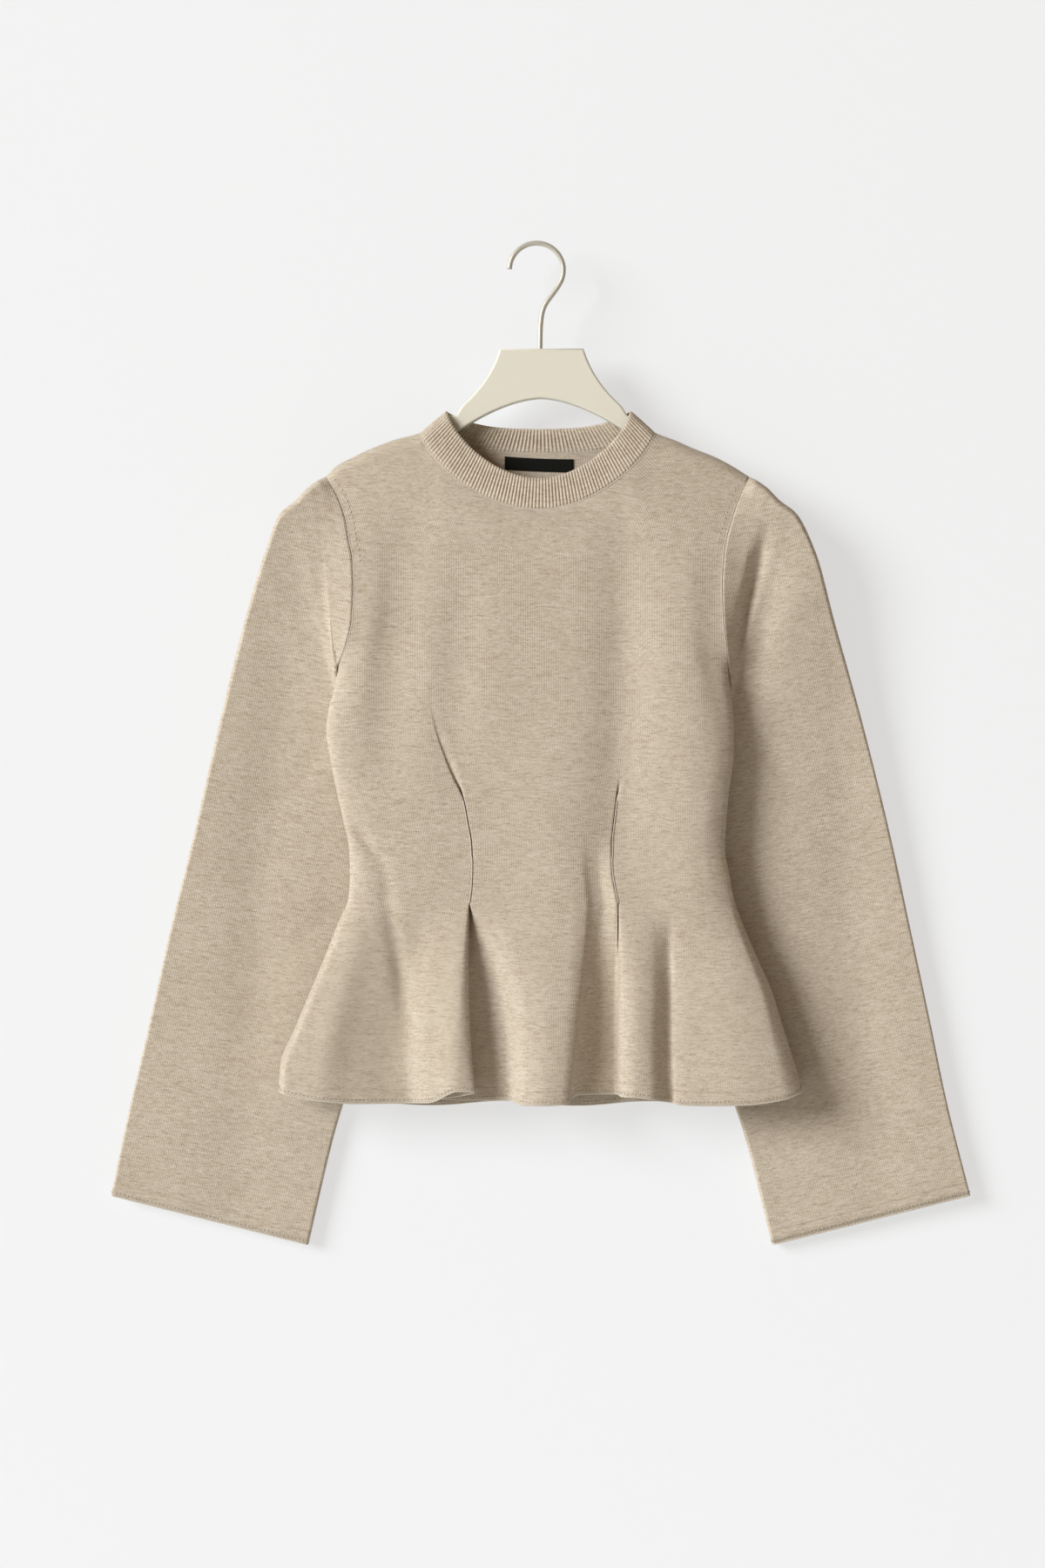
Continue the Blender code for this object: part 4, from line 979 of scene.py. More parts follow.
def rolls(name, parts, radius, material, sides=8):
    """Rolls along lines of points, in one mesh. outward is the side of each point that shows."""
    bm = bmesh.new()
    flat = bm.loops.layers.uv.new("knit")
    angles = np.linspace(0, 2 * np.pi, sides + 1)
    for roll in parts:
        ahead = tangents(roll.line[None], 1, roll.closed)[0]
        over = unit(roll.outward - (roll.outward * ahead).sum(axis=1, keepdims=True) * ahead)
        aside = np.cross(ahead, over)
        run = run_of(roll.line)
        count = len(roll.line)
        made = bmesh.ops.create_grid(bm, x_segments=count - 1, y_segments=sides, size=0.5)
        for vertex in made["verts"]:
            number = round((vertex.co.x + 0.5) * (count - 1))
            turn = round((vertex.co.y + 0.5) * sides)
            for corner in vertex.link_loops:
                corner[flat].uv = (run[number], turn * 2 * np.pi * radius / sides)
            round_it = np.cos(angles[turn]) * over[number] + np.sin(angles[turn]) * aside[number]
            vertex.co = roll.line[number] + radius * round_it
    bmesh.ops.remove_doubles(bm, verts=bm.verts, dist=1e-6)
    bmesh.ops.holes_fill(bm, edges=[edge for edge in bm.edges if edge.is_boundary], sides=0)
    bmesh.ops.recalc_face_normals(bm, faces=bm.faces)
    return shaped(name, bm, material)


def stitches(name, places, material):
    """Small yarn stitches joined into one mesh, each from its centre, way, outward side and size."""
    bm = bmesh.new()
    for centre, way, outward, kind in places:
        way = Vector(way).normalized()
        outward = Vector(outward)
        outward = (outward - outward.dot(way) * way).normalized()
        turn = Matrix((way, outward.cross(way), outward)).transposed().to_4x4()
        turn.translation = Vector(centre)
        size = Matrix.Diagonal((kind.length / 2, kind.thick / 2, kind.thick / 2, 1))
        bmesh.ops.create_icosphere(bm, subdivisions=1, radius=1, matrix=turn @ size)
    return shaped(name, bm, material)


def row_above(rows, edge, distance):
    """The row of points at this distance from the first (edge 0) or last (edge -1) one."""
    near = rows[edge]
    far = rows[1] if edge == 0 else rows[-2]
    gap = np.linalg.norm(far - near, axis=1, keepdims=True)
    return near + (far - near) * distance / gap


def row_stitches(points, outward, up, pitch):
    """Slanted hem stitches at even steps along a row of points."""
    run = run_of(points)
    count = int(run[-1] / pitch)
    at = (np.arange(count) + 0.5) * run[-1] / count
    centres = np.stack([np.interp(at, run, c) for c in points.T], axis=1)
    facing = np.stack([np.interp(at, run, c) for c in outward.T], axis=1)
    ahead = unit(np.gradient(centres, axis=0))
    slant = HEM_STITCH.slant * np.array(up)
    return [(centre, way + slant, out, HEM_STITCH)
            for centre, way, out in zip(centres, ahead, facing)]


def settle(thing, slot, *replaced):
    """Makes a piece ride with the top, and stand for the solids it refines."""
    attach(thing, BODY)
    if replaced:
        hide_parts(*replaced)
    return thing


# Finishes


class Signal:
    """A shader value that takes part in Python expressions."""

    def __init__(self, finish, socket):
        self.finish = finish
        self.socket = socket

    def math(self, operation, *others):
        return self.finish.node("ShaderNodeMath", {"operation": operation}, self, *others)

    def __add__(self, other):
        return self.math("ADD", other)

    __radd__ = __add__

    def __sub__(self, other):
        return self.math("SUBTRACT", other)

    def __rsub__(self, other):
        return self.finish.node("ShaderNodeMath", {"operation": "SUBTRACT"}, other, self)

    def __mul__(self, other):
        return self.math("MULTIPLY", other)

    __rmul__ = __mul__

    def __truediv__(self, other):
        return self.math("DIVIDE", other)

    def __rtruediv__(self, other):
        return self.finish.node("ShaderNodeMath", {"operation": "DIVIDE"}, other, self)


class Finish:
    """A material and its nodes."""

    def __init__(self, name, roughness, sheen=0.0, specular=0.5):
        self.material = bpy.data.materials.new(name)
        self.material.use_nodes = True
        self.tree = self.material.node_tree
        self.shader = self.tree.nodes["Principled BSDF"]
        self.shader.inputs["Roughness"].default_value = roughness
        self.shader.inputs["Sheen Weight"].default_value = sheen
        self.shader.inputs["Sheen Roughness"].default_value = 0.6
        self.shader.inputs["Specular IOR Level"].default_value = specular

    def node(self, kind, settings, *values, out=0, **named):
        """A node of this type: its settings are set first, then its sockets in order or by name."""
        node = self.tree.nodes.new(kind)
        for key, value in settings.items():
            setattr(node, key, value)
        pairs = list(zip(node.inputs, values))
        pairs += [(node.inputs[key.replace("_", " ")], value) for key, value in named.items()]
        for socket, value in pairs:
            if isinstance(value, Signal):
                self.tree.links.new(value.socket, socket)
            elif value is not None:
                socket.default_value = value
        return Signal(self, node.outputs[out])

    def feed(self, name, signal):
        self.tree.links.new(signal.socket, self.shader.inputs[name])

    def ramp(self, value, stops):
        """A grey ramp of value through stops of (place, height)."""
        node = self.tree.nodes.new("ShaderNodeValToRGB")
        points = node.color_ramp.elements
        points[0].position, points[1].position = stops[0][0], stops[-1][0]
        for place, height in stops[1:-1]:
            points.new(place)
        for point, (place, height) in zip(points, stops):
            point.color = (height, height, height, 1)
        self.tree.links.new(value.socket, node.inputs[0])
        return Signal(self, node.outputs[0])

    def mix(self, share, first, second):
        """A colour between two, by a share."""
        node = self.tree.nodes.new("ShaderNodeMix")
        node.data_type = "RGBA"
        for number, value in ((0, share), (6, first), (7, second)):
            socket = node.inputs[number]
            if isinstance(value, Signal):
                self.tree.links.new(value.socket, socket)
            else:
                socket.default_value = value if isinstance(value, float) else (*value, 1)
        return Signal(self, node.outputs[2])

    def patches(self, scale, detail=2.0):
        """Soft noise in the piece's own space."""
        place = self.node("ShaderNodeTexCoord", {}, out=3)
        return self.node("ShaderNodeTexNoise", {}, place, Scale=scale, Detail=detail)

    def see_through(self, shader, share):
        """Lets the surface be clear where share is 1."""
        nodes = self.tree.nodes
        blend = nodes.new("ShaderNodeMixShader")
        clear = nodes.new("ShaderNodeBsdfTransparent")
        self.tree.links.new(share, blend.inputs[0])
        self.tree.links.new(shader, blend.inputs[1])
        self.tree.links.new(clear.outputs[0], blend.inputs[2])
        self.tree.links.new(blend.outputs[0], nodes["Material Output"].inputs[0])

    def flat(self):
        """Place on the flat cloth, in metres: along the rows and up the columns of stitches."""
        uv = self.node("ShaderNodeUVMap", {"uv_map": "knit"})
        parts = self.tree.nodes.new("ShaderNodeSeparateXYZ")
        self.tree.links.new(uv.socket, parts.inputs[0])
        return Signal(self, parts.outputs[0]), Signal(self, parts.outputs[1])

    def noise(self, across, up, wide, high, detail=2.0, seed=0.0):
        """Soft noise whose blots are this wide and high on the flat knit."""
        place = self.node("ShaderNodeCombineXYZ", {}, across / wide, up / high, seed)
        return self.node("ShaderNodeTexNoise", {"noise_dimensions": "3D"}, place,
                         Scale=1.0, Detail=detail, Roughness=0.55)

    def bump(self, height, distance, strength=1.0):
        self.feed("Normal", self.node("ShaderNodeBump", {}, Strength=strength, Distance=distance,
                                      Height=height))


def tinted(colour, share):
    return tuple(share * value for value in colour)


def knit_finish(name, tint=1.0, ribbed=False):
    """Fine melange knit: long pale and dark fibres along the rows, and columns of stitches, with
    painted shade in the grooves between stitches and along the hem's line.
    """
    knit = bpy.context.scene.peplum_knit
    finish = Finish(name, roughness=0.92, sheen=0.08, specular=0.2)
    across, up = finish.flat()

    streaks = finish.noise(across, up, *STREAKS, 3.0, 1.3)
    long_streaks = finish.noise(across, up, *LONG_STREAKS, 2.0, 5.1)
    flecks = finish.noise(across, up, *FLECKS, 2.0, 9.7)
    cloud = finish.noise(across, up, *CLOUDS, 2.0, 3.3)
    brown = finish.noise(across, up, *BROWN_FLECKS, 2.0, 14.9)
    fibres = streaks * 0.44 + long_streaks * 0.22 + flecks * 0.34
    pale_share = finish.ramp(fibres, ((0.49, 0.0), (0.64, 1.0)))
    dark_share = finish.ramp(fibres, ((0.35, 1.0), (0.49, 0.0)))
    fleck_share = finish.ramp(brown, ((0.64, 0.0), (0.74, 1.0)))

    wale = RIB_PITCH if ribbed else knit.wale
    # groove: how strongly painted shade darkens the grooves between stitches, or between ribs on the
    # band.
    groove = 0.28 if ribbed else 0.26
    slope = ((across / wale + 0.5).math("FRACT") - 0.5).math("ABSOLUTE")
    row = (up / knit.course + slope * 0.9).math("FRACT") - 0.5
    stitch = (1 - slope * slope * 4) * (1 - row * row * 2.2)

    colour, pale, dark = [tinted(value, tint) for value in (knit.colour, knit.pale, knit.dark)]
    base = finish.mix(pale_share * 0.62, colour, pale)
    base = finish.mix(dark_share * 0.50, base, dark)
    base = finish.mix(fleck_share * 0.36, base, dark)
    base = finish.mix((cloud - 0.5) * 0.20 + 0.05, base, dark)
    # Painted shade: the grooves between stitches and ribs are mixed towards the dark fibre colour.
    base = finish.mix((1 - stitch) * groove, base, dark)
    # Painted shade: the knit darkens along the hem's line, where the bump also sinks it into a
    # groove.
    edge = finish.node("ShaderNodeAttribute", {"attribute_name": "hem"}, out=2)
    off_line = (edge - HEM_LINE_UP).math("ABSOLUTE")
    line = 1 - finish.node("ShaderNodeMapRange", {}, off_line, 0.0, HEM_LINE_HALF, 0.0, 1.0)
    base = finish.mix(line * 0.22, base, dark)
    finish.feed("Base Color", base)
    finish.bump(stitch + fibres * 0.5 - line * 1.2, 0.00030, 0.6)
    return finish.material


def thread_finish(name, tint):
    """Plain linking yarn with a slight twist."""
    knit = bpy.context.scene.peplum_knit
    finish = Finish(name, roughness=0.9, sheen=0.1, specular=0.25)
    blots = finish.patches(900.0)
    colours = [tinted(knit.colour, share) for share in (0.72 * tint, tint)]
    finish.feed("Base Color", finish.mix(blots, *colours))
    finish.bump(blots, 0.0002, 0.6)
    return finish.material


def linked_finish(name, pitch, tint):
    """Linking yarn: slanted stitches side by side along a seam or an edge, with painted shade in the
    gaps between them.
    """
    knit = bpy.context.scene.peplum_knit
    finish = Finish(name, roughness=0.9, sheen=0.08, specular=0.2)
    across, up = finish.flat()
    place = (across / pitch + up / 0.0030).math("FRACT") - 0.5
    gap = finish.ramp(place.math("ABSOLUTE"), ((0.24, 0.0), (0.5, 1.0)))
    fibres = finish.noise(across, up, 0.0012, 0.0004, 2.0, 2.9)
    base = finish.mix(fibres, tinted(knit.colour, tint), tinted(knit.pale, tint * 0.85))
    # Painted shade: the gaps between the linking stitches are mixed half-way to the dark fibre
    # colour.
    finish.feed("Base Color", finish.mix(gap * 0.5, base, tinted(knit.dark, tint)))
    finish.bump(fibres * 0.4 - gap, 0.0004, 0.9)
    return finish.material


def label_finish():
    """Black woven ribbon: fine warp and weft."""
    finish = Finish("label weave", roughness=0.8, specular=0.12)
    across, up = finish.flat()
    warp = (across / 0.00035 * 6.2832).math("SINE")
    weft = (up / 0.00028 * 6.2832).math("SINE")
    weave = warp * weft * 0.5 + 0.5
    finish.feed("Base Color", finish.mix(weave, (0.004, 0.005, 0.0035), (0.011, 0.012, 0.0095)))
    finish.bump(weave, 0.00008, 0.7)
    return finish.material


def hanger_finish():
    """Cream moulded plastic with a satin grain."""
    colours = bpy.context.scene.peplum_hanger
    finish = Finish("hanger plastic", roughness=0.42, specular=0.45)
    grain = finish.patches(1400.0)
    cloud = finish.patches(18.0, 3.0)
    finish.feed("Base Color", finish.mix(cloud, tuple(colours.body), tinted(colours.body, 0.94)))
    finish.feed("Roughness", cloud * 0.12 + 0.38)
    finish.bump(grain, 0.00006, 0.5)
    return finish.material


def hook_finish():
    """Painted steel wire, slightly darker in soft random patches."""
    colours = bpy.context.scene.peplum_hanger
    finish = Finish("hook paint", roughness=0.35, specular=0.5)
    cloud = finish.patches(160.0, 3.0)
    finish.feed("Base Color", finish.mix(cloud, tuple(colours.wire), tinted(colours.wire, 0.86)))
    finish.feed("Roughness", cloud * 0.2 + 0.26)
    finish.bump(cloud, 0.00005, 0.4)
    finish.shader.inputs["Metallic"].default_value = 0.25
    return finish.material


# Operators


def panel_shape(side):
    """A body panel with its creases: its outer rows, their normals and its middle column."""
    rows, centre = front_rows() if side < 0 else back_rows()
    creases = FRONT_CREASES if side < 0 else BACK_CREASES
    outward = 1 if side < 0 else -1
    from_edge = np.minimum(run_across(rows), run_across(rows)[:, -1:] - run_across(rows))
    calm = ease(*CALM_EDGE, from_edge) * ease(*CALM_TOP_Z, rows[:, :, 2])
    rows[:, :, 1] -= side * calm * sunk(rows[:, :, 0], rows[:, :, 2], creases)
    normals = grid_normals(rows, outward, False)
    normals[-1] = panel_normal(rows[-1, :, 0], rows[-1, :, 2], side)
    for edge in (0, -1):
        above = rows[:, edge, 2] > UNDERARM_Z - 1e-6
        below = ~above
        normals[above, edge] = panel_normal(rows[above, edge, 0], rows[above, edge, 2], side)
        flat = normals[below, edge]
        flat[:, 1] = 0
        normals[below, edge] = unit(flat)
    return rows, normals, centre


def sleeve_shape(side):
    """A sleeve with its creases: its outer rings, their normals and the way along it."""
    rows, seam_z = sleeve_rings(side)
    normals = grid_normals(rows, -side, True)
    last = len(rows) - 1
    calm = ease(0, last * 0.1, np.arange(last + 1))[:, None]
    for face, creases in ((-1, SLEEVE_CREASES[side]), (1, SLEEVE_BACK_CREASES[side])):
        facing = np.clip(face * normals[:, :, 1], 0, 1)
        rows[:, :, 1] -= face * calm * facing * sunk(rows[:, :, 0], rows[:, :, 2], creases)
    normals = grid_normals(rows, -side, True)
    runs_on = ease(FOLDS_BACK_Z, RUNS_ON_Z, rows[0, :, 2])[:, None]
    edges = []
    for face in (-1, 1):
        edge = armhole(side, face, seam_z)
        edges.append(panel_normal(edge[:, 0], edge[:, 2], face))
    normals[0] = unit(runs_on * round_the_arm(*edges) + (1 - runs_on) * normals[0])
    middle = rows.mean(axis=1)
    return rows, normals, unit(middle[-1] - middle[len(middle) // 3])


def run_across(rows, depth_share=1.0):
    """Level distance along each row of a grid, from its first column."""
    steps = np.diff(rows[:, :, :2], axis=1)
    steps = np.hypot(steps[:, :, 0], depth_share * steps[:, :, 1])
    return np.concatenate([np.zeros((len(rows), 1)), np.cumsum(steps, axis=1)], axis=1)


class PEPLUM_OT_panels(bpy.types.Operator):
    """Front and back panels"""

    bl_idname = "peplum.panels"
    bl_label = "Front and back"

    def execute(self, context):
        seams = context.scene.peplum_seams
        knit = knit_finish("body knit")
        roll = linked_finish("hem linking", 0.0020, 1.08)
        # Painted shade: the hem stitches are real, but their colour at 0.42 of the yarn's stands in
        # for the shade of the holes along the hem.
        thread = thread_finish("hem thread", 0.42)
        marks = thread_finish("mark thread", 1.0)
        for name, side in (("front", -1), ("back", 1)):
            rows, normals, centre = panel_shape(side)
            across = run_across(rows, ease(*FANNED_OUT_Z, rows[:, centre:centre + 1, 2]))
            across = across - across[:, centre:centre + 1]
            rise = np.diff(rows, axis=0)
            along_face = np.hypot(rise[:, :, 1], rise[:, :, 2])
            rise = np.where(rows[1:, :, 2] > WAIST_Z, along_face, rise[:, :, 2])
            up = rows[:1, :, 2] + np.concatenate([0 * rise[:1], np.cumsum(rise, axis=0)])
            hem = np.maximum(rows[:, :, 2] - rows[:1, :, 2], 0)
            piece = cloth(f"{name}_knit", rows, normals, knit, across, up, hem=hem)
            settle(piece, "knit", name)
            edge = rows[0] - WALL / 2 * normals[0] + np.array([0, 0, EDGE_PROUD])
            hem_roll = rolls(f"{name}_hem_edge", [Roll(edge, normals[0], False)], seams.roll, roll)
            line = row_above(rows, 0, HEM_STITCHES_UP)
            places = []
            for face, depth in ((1, -SET_IN), (-1, WALL - SET_IN)):
                places += row_stitches(line - depth * normals[0], face * normals[0], (0, 0, 1),
                                       seams.pitch)
            hem_stitches = stitches(f"{name}_hem_stitches", places, thread)
            fashioned = []
            for edge_side in (-1, 1):
                heights = np.arange(MARKS_TOP_Z, MARKS_END_Z, -MARKS_STEP)
                x = read(BODY_EDGES, "left" if edge_side < 0 else "right", heights)
                x = x - edge_side * MARKS_INSET
                line = np.stack([x, panel_y(x, heights, side), heights], axis=1)
                out = panel_normal(x, heights, side)
                way = (FASHION_MARK.slant * edge_side, 0, 1)
                fashioned += [(point + SET_IN * facing, way, facing, FASHION_MARK)
                              for point, facing in zip(line, out)]
            mark_piece = stitches(f"{name}_fashion_marks", fashioned, marks)
            together = [settle(part, "knit") for part in (hem_roll, hem_stitches, mark_piece)]
        return {"FINISHED"}


class PEPLUM_OT_sleeves(bpy.types.Operator):
    """Sleeves"""

    bl_idname = "peplum.sleeves"
    bl_label = "Sleeves"

    def execute(self, context):
        seams = context.scene.peplum_seams
        knit = knit_finish("sleeve knit")
        roll = linked_finish("cuff linking", 0.0020, 1.08)
        # Painted shade: the cuff stitches are real, but their colour at 0.42 of the yarn's stands in
        # for the shade of the holes along the cuff.
        thread = thread_finish("cuff thread", 0.42)
        for side, name in ((-1, "left"), (1, "right")):
            rows, normals, axis = sleeve_shape(side)
            across = rows @ unit(np.cross(axis, (0.0, 1.0, 0.0)))
            fold = rows.shape[1] // 2
            across[:, fold:] = 2 * across[:, fold:fold + 1] - across[:, fold:]
            up = -(rows @ axis)
            hem = np.maximum((rows[-1:] - rows) @ axis, 0)
            piece = cloth(f"sleeve_{name}_knit", rows, normals, knit, across, up, hem=hem)
            settle(piece, "knit", f"sleeve_{name}")
            edge = Roll(rows[-1] - WALL / 2 * normals[-1] - EDGE_PROUD * axis, normals[-1], True)
            cuff_roll = rolls(f"sleeve_{name}_cuff_edge", [edge], seams.roll, roll)
            line = row_above(rows, -1, HEM_STITCHES_UP) + SET_IN * normals[-1]
            places = row_stitches(line, normals[-1], -axis, seams.pitch)
            cuff_stitches = stitches(f"sleeve_{name}_cuff_stitches", places, thread)
            together = [settle(part, "knit") for part in (cuff_roll, cuff_stitches)]
        return {"FINISHED"}


def seam_roll(x, z, side, seam, towards=0, creases=()):
    """A seam's roll along a panel's outer face, moved aside towards -X (-1) or +X (1)."""
    y = panel_y(x, z, side)
    if creases:
        y = y - side * sunk(x, z, creases)
    line = np.stack([x, y, z], axis=1)
    out = panel_normal(x, z, side)
    return Roll(line - seam.depth * out + np.array([towards * seam.aside, 0, 0]), out, False)


class PEPLUM_OT_seams(bpy.types.Operator):
    """Linked seams of the neck, shoulders, armholes, sides and tucks"""

    bl_idname = "peplum.seams"
    bl_label = "Seams"

    def execute(self, context):
        linking = linked_finish("seam linking", 0.0015, 1.06)
        neck = []
        for loop, side in ((front_neck, -1), (back_neck, 1)):
            x, z = [np.interp(np.linspace(0, 1, 260), np.linspace(0, 1, NECK_SAMPLES), c)
                    for c in loop(NECK_SEAM)]
            neck.append(seam_roll(x, z, side, NECK_SEAM_ROLL))
        rounds = [("neck_seam", neck, NECK_SEAM_ROLL)]

        armholes = []
        heights = np.linspace(UNDERARM_Z + 0.0005, BODY_EDGES[-1].z - 0.0004, 110)
        for edge_side, name in ((-1, "left"), (1, "right")):
            x = read(BODY_EDGES, name, heights)
            armholes += [seam_roll(x, heights, face, ARMHOLE_ROLL, -edge_side) for face in (-1, 1)]
        rounds.append(("armhole_seams", armholes, ARMHOLE_ROLL))

        shoulders = []
        for side in (-1, 1):
            line = shoulder_line(side, 60)
            shoulders.append(seam_roll(line[:, 0], line[:, 1], -1, SHOULDER_ROLL))
        rounds.append(("shoulder_seams", shoulders, SHOULDER_ROLL))

        sides = []
        rows = panel_shape(-1)[0]
        for edge_side, column_number in ((-1, 0), (1, -1)):
            line = rows[rows[:, column_number, 2] < UNDERARM_Z, column_number]
            line[:, 0] -= SIDE_ROLL.aside * edge_side
            line[:, 1] = SIDE_SEAM_Y
            sides.append(Roll(line, np.tile((edge_side, 0.0, 0.0), (len(line), 1)), False))
        rounds.append(("side_seams", sides, SIDE_ROLL))

        ridges = []
        heights = np.linspace(TUCK_LINES[0].z + 0.001, TUCK_STITCH_TOP_Z, 60)
        for tuck_side, name in ((-1, "left"), (1, "right")):
            x = read(TUCK_LINES, name, heights)
            ridges.append(seam_roll(x, heights, -1, TUCK_RIDGE, tuck_side, FRONT_CREASES))
        rounds.append(("tuck_ridges", ridges, TUCK_RIDGE))
        for name, parts, seam in rounds:
            settle(rolls(name, parts, seam.radius, linking), "knit")
        return {"FINISHED"}


class PEPLUM_OT_neckband(bpy.types.Operator):
    """Ribbed neckband"""

    bl_idname = "peplum.neckband"
    bl_label = "Neckband"

    def execute(self, context):
        knit = knit_finish("band knit", tint=1.03, ribbed=True)
        halves = []
        for neck, side, ribs in ((front_neck, -1, FRONT_RIBS), (back_neck, 1, BACK_RIBS)):
            shares = np.linspace(0, 1, ribs * BAND_STEPS + 1)
            lines = []
            for loop in (NECK_SEAM, NECK_TOP):
                x, z = neck(loop)
                points = np.stack([x, panel_y(x, z, side), z], axis=1)
                lines.append(along(points, shares))
            halves.append(lines)
        seam, top = [np.concatenate([front, back[-2:0:-1], front[:1]])
                     for front, back in zip(*halves)]
        shares = np.linspace(0, 1, BAND_ROWS)
        start = seam + SEAM_GAP * unit(top - seam)
        rows = np.array([start + share * (top - start) for share in shares])
        normals = grid_normals(rows, 1, True)
        turn = np.arange(len(seam)) / BAND_STEPS
        relief = context.scene.peplum_band.relief * (np.abs(np.cos(np.pi * turn)) ** 0.7 - 0.6)
        ends = np.sin(np.pi * np.clip(shares * 0.94 + 0.03, 0, 1)) ** 0.4
        rows = rows + (ends[:, None] * relief)[:, :, None] * normals
        across = np.tile(turn * RIB_PITCH, (BAND_ROWS, 1))
        up = np.linalg.norm(rows - rows[:1], axis=2)
        piece = cloth("neckband_rib", rows, normals, knit, across, up)
        settle(piece, "knit", "neckband")
        return {"FINISHED"}


class PEPLUM_OT_label(bpy.types.Operator):
    """Woven neck label, left bare"""

    bl_idname = "peplum.label"
    bl_label = "Label"

    def execute(self, context):
        x = np.linspace(LABEL_LEFT, LABEL_RIGHT, 60)
        rows = []
        share = 2 * (x - LABEL_LEFT) / (LABEL_RIGHT - LABEL_LEFT) - 1
        for z in np.linspace(LABEL_TOP_Z - LABEL_HEIGHT, LABEL_TOP_Z, 12):
            level = z - LABEL_TILT * share - LABEL_SAG * (1 - share**2)
            panel_face = np.stack([x, panel_y(x, level, 1), level], axis=1)
            gap = WALL + SEAM_GAP + LABEL_THICKNESS
            rows.append(panel_face - gap * panel_normal(x, level, 1))
        rows = np.array(rows)
        piece = cloth("neck_label_weave", rows, grid_normals(rows, 1, False), label_finish(),
                      rows[:, :, 0], rows[:, :, 2], LABEL_THICKNESS)
        settle(piece, "label", "neck_label")
        return {"FINISHED"}


def hanger_side(side):
    """Upper and lower edges of half the hanger, from its plate to the tip of the arm."""
    half, z = np.array(((PLATE_TOP_HALF, PLATE_TOP_Z),) + PLATE_EDGE).T
    heights = np.linspace(z[0], z[-1], PLATE_STEPS)
    plate = np.stack([HANGER_X + side * smooth(heights, z, half), heights], axis=1)
    start = CREST[0].left if side < 0 else CREST[0].right
    x = np.linspace(start, HANGER_X + side * HANGER_TIP_X, ARM_STEPS)
    slope = (crest_height(x + NORMAL_STEP) - crest_height(x - NORMAL_STEP)) / (2 * NORMAL_STEP)
    arm = np.stack([x, crest_height(x) - HANGER_SEAT * np.hypot(1, slope)], axis=1)
    arm[:, 1] = np.minimum(arm[:, 1], z[-1] - 0.0003)
    return np.concatenate([plate, arm]), arm[:0:-1] - np.array([0, ARM_HEIGHT])


def hanger_outline():
    left_upper, left_lower = hanger_side(-1)
    right_upper, right_lower = hanger_side(1)
    across = np.linspace(1, -1, ARCH_STEPS)
    arch = np.stack([HANGER_X + ARCH_HALF * across, ARCH_TOP_Z
                     + (ARCH_FOOT_Z - ARCH_TOP_Z) * np.abs(across) ** ARCH_FLATNESS], axis=1)
    return np.concatenate([left_upper[::-1], right_upper, right_lower, arch, left_lower[::-1]])


def moulded_plate(name, outline, half_thickness, rounding, material):
    """A flat body with this outline and rounded edges."""
    bm = bmesh.new()
    corners = [bm.verts.new((x, half_thickness, z)) for x, z in outline]
    face = bm.faces.new(corners)
    made = bmesh.ops.extrude_face_region(bm, geom=[face])
    moved = [item for item in made["geom"] if isinstance(item, bmesh.types.BMVert)]
    bmesh.ops.translate(bm, verts=moved, vec=(0, -2 * half_thickness, 0))
    bmesh.ops.recalc_face_normals(bm, faces=bm.faces)
    rims = []
    for edge in bm.edges:
        first, second = edge.verts
        if abs(first.co.y - second.co.y) < half_thickness:
            rims.append(edge)
    bmesh.ops.bevel(bm, geom=rims, offset=rounding, segments=5, profile=0.5, affect="EDGES",
                    material=-1, clamp_overlap=True)
    thing = shaped(name, bm, material)
    for polygon in thing.data.polygons:
        polygon.use_smooth = len(polygon.vertices) < 5
    return thing


def hook_route():
    """Centre line of the wire: a round hook over the origin, then an easy bend to the plate."""
    angles = np.radians(np.linspace(HOOK_TIP_ANGLE, HOOK_END_ANGLE, 60))
    x = HOOK_CENTRE_X + HOOK_RADIUS * np.cos(angles)
    z = HOOK_WIRE - HOOK_RADIUS + HOOK_RADIUS * np.sin(angles)
    points = np.concatenate([np.stack([x, 0 * x, z], axis=1), np.array(HOOK_BEND)])
    run = run_of(points)
    at = np.linspace(0, run[-1], 150)
    return np.stack([smooth(at, run, c) for c in points.T], axis=1)


class PEPLUM_OT_hanger(bpy.types.Operator):
    """Moulded hanger and its wire hook"""

    bl_idname = "peplum.hanger"
    bl_label = "Hanger"

    def execute(self, context):
        body = moulded_plate("hanger_moulded", hanger_outline(), HANGER_HALF_THICKNESS,
                             HANGER_ROUNDING, hanger_finish())
        settle(body, "hanger", "hanger_body")
        route = hook_route()
        facing = np.tile((0.0, -1.0, 0.0), (len(route), 1))
        wire = rolls("hook_wire", [Roll(route, facing, False)], HOOK_WIRE, hook_finish(), sides=20)
        settle(wire, "hook", "hanger_hook")
        return {"FINISHED"}


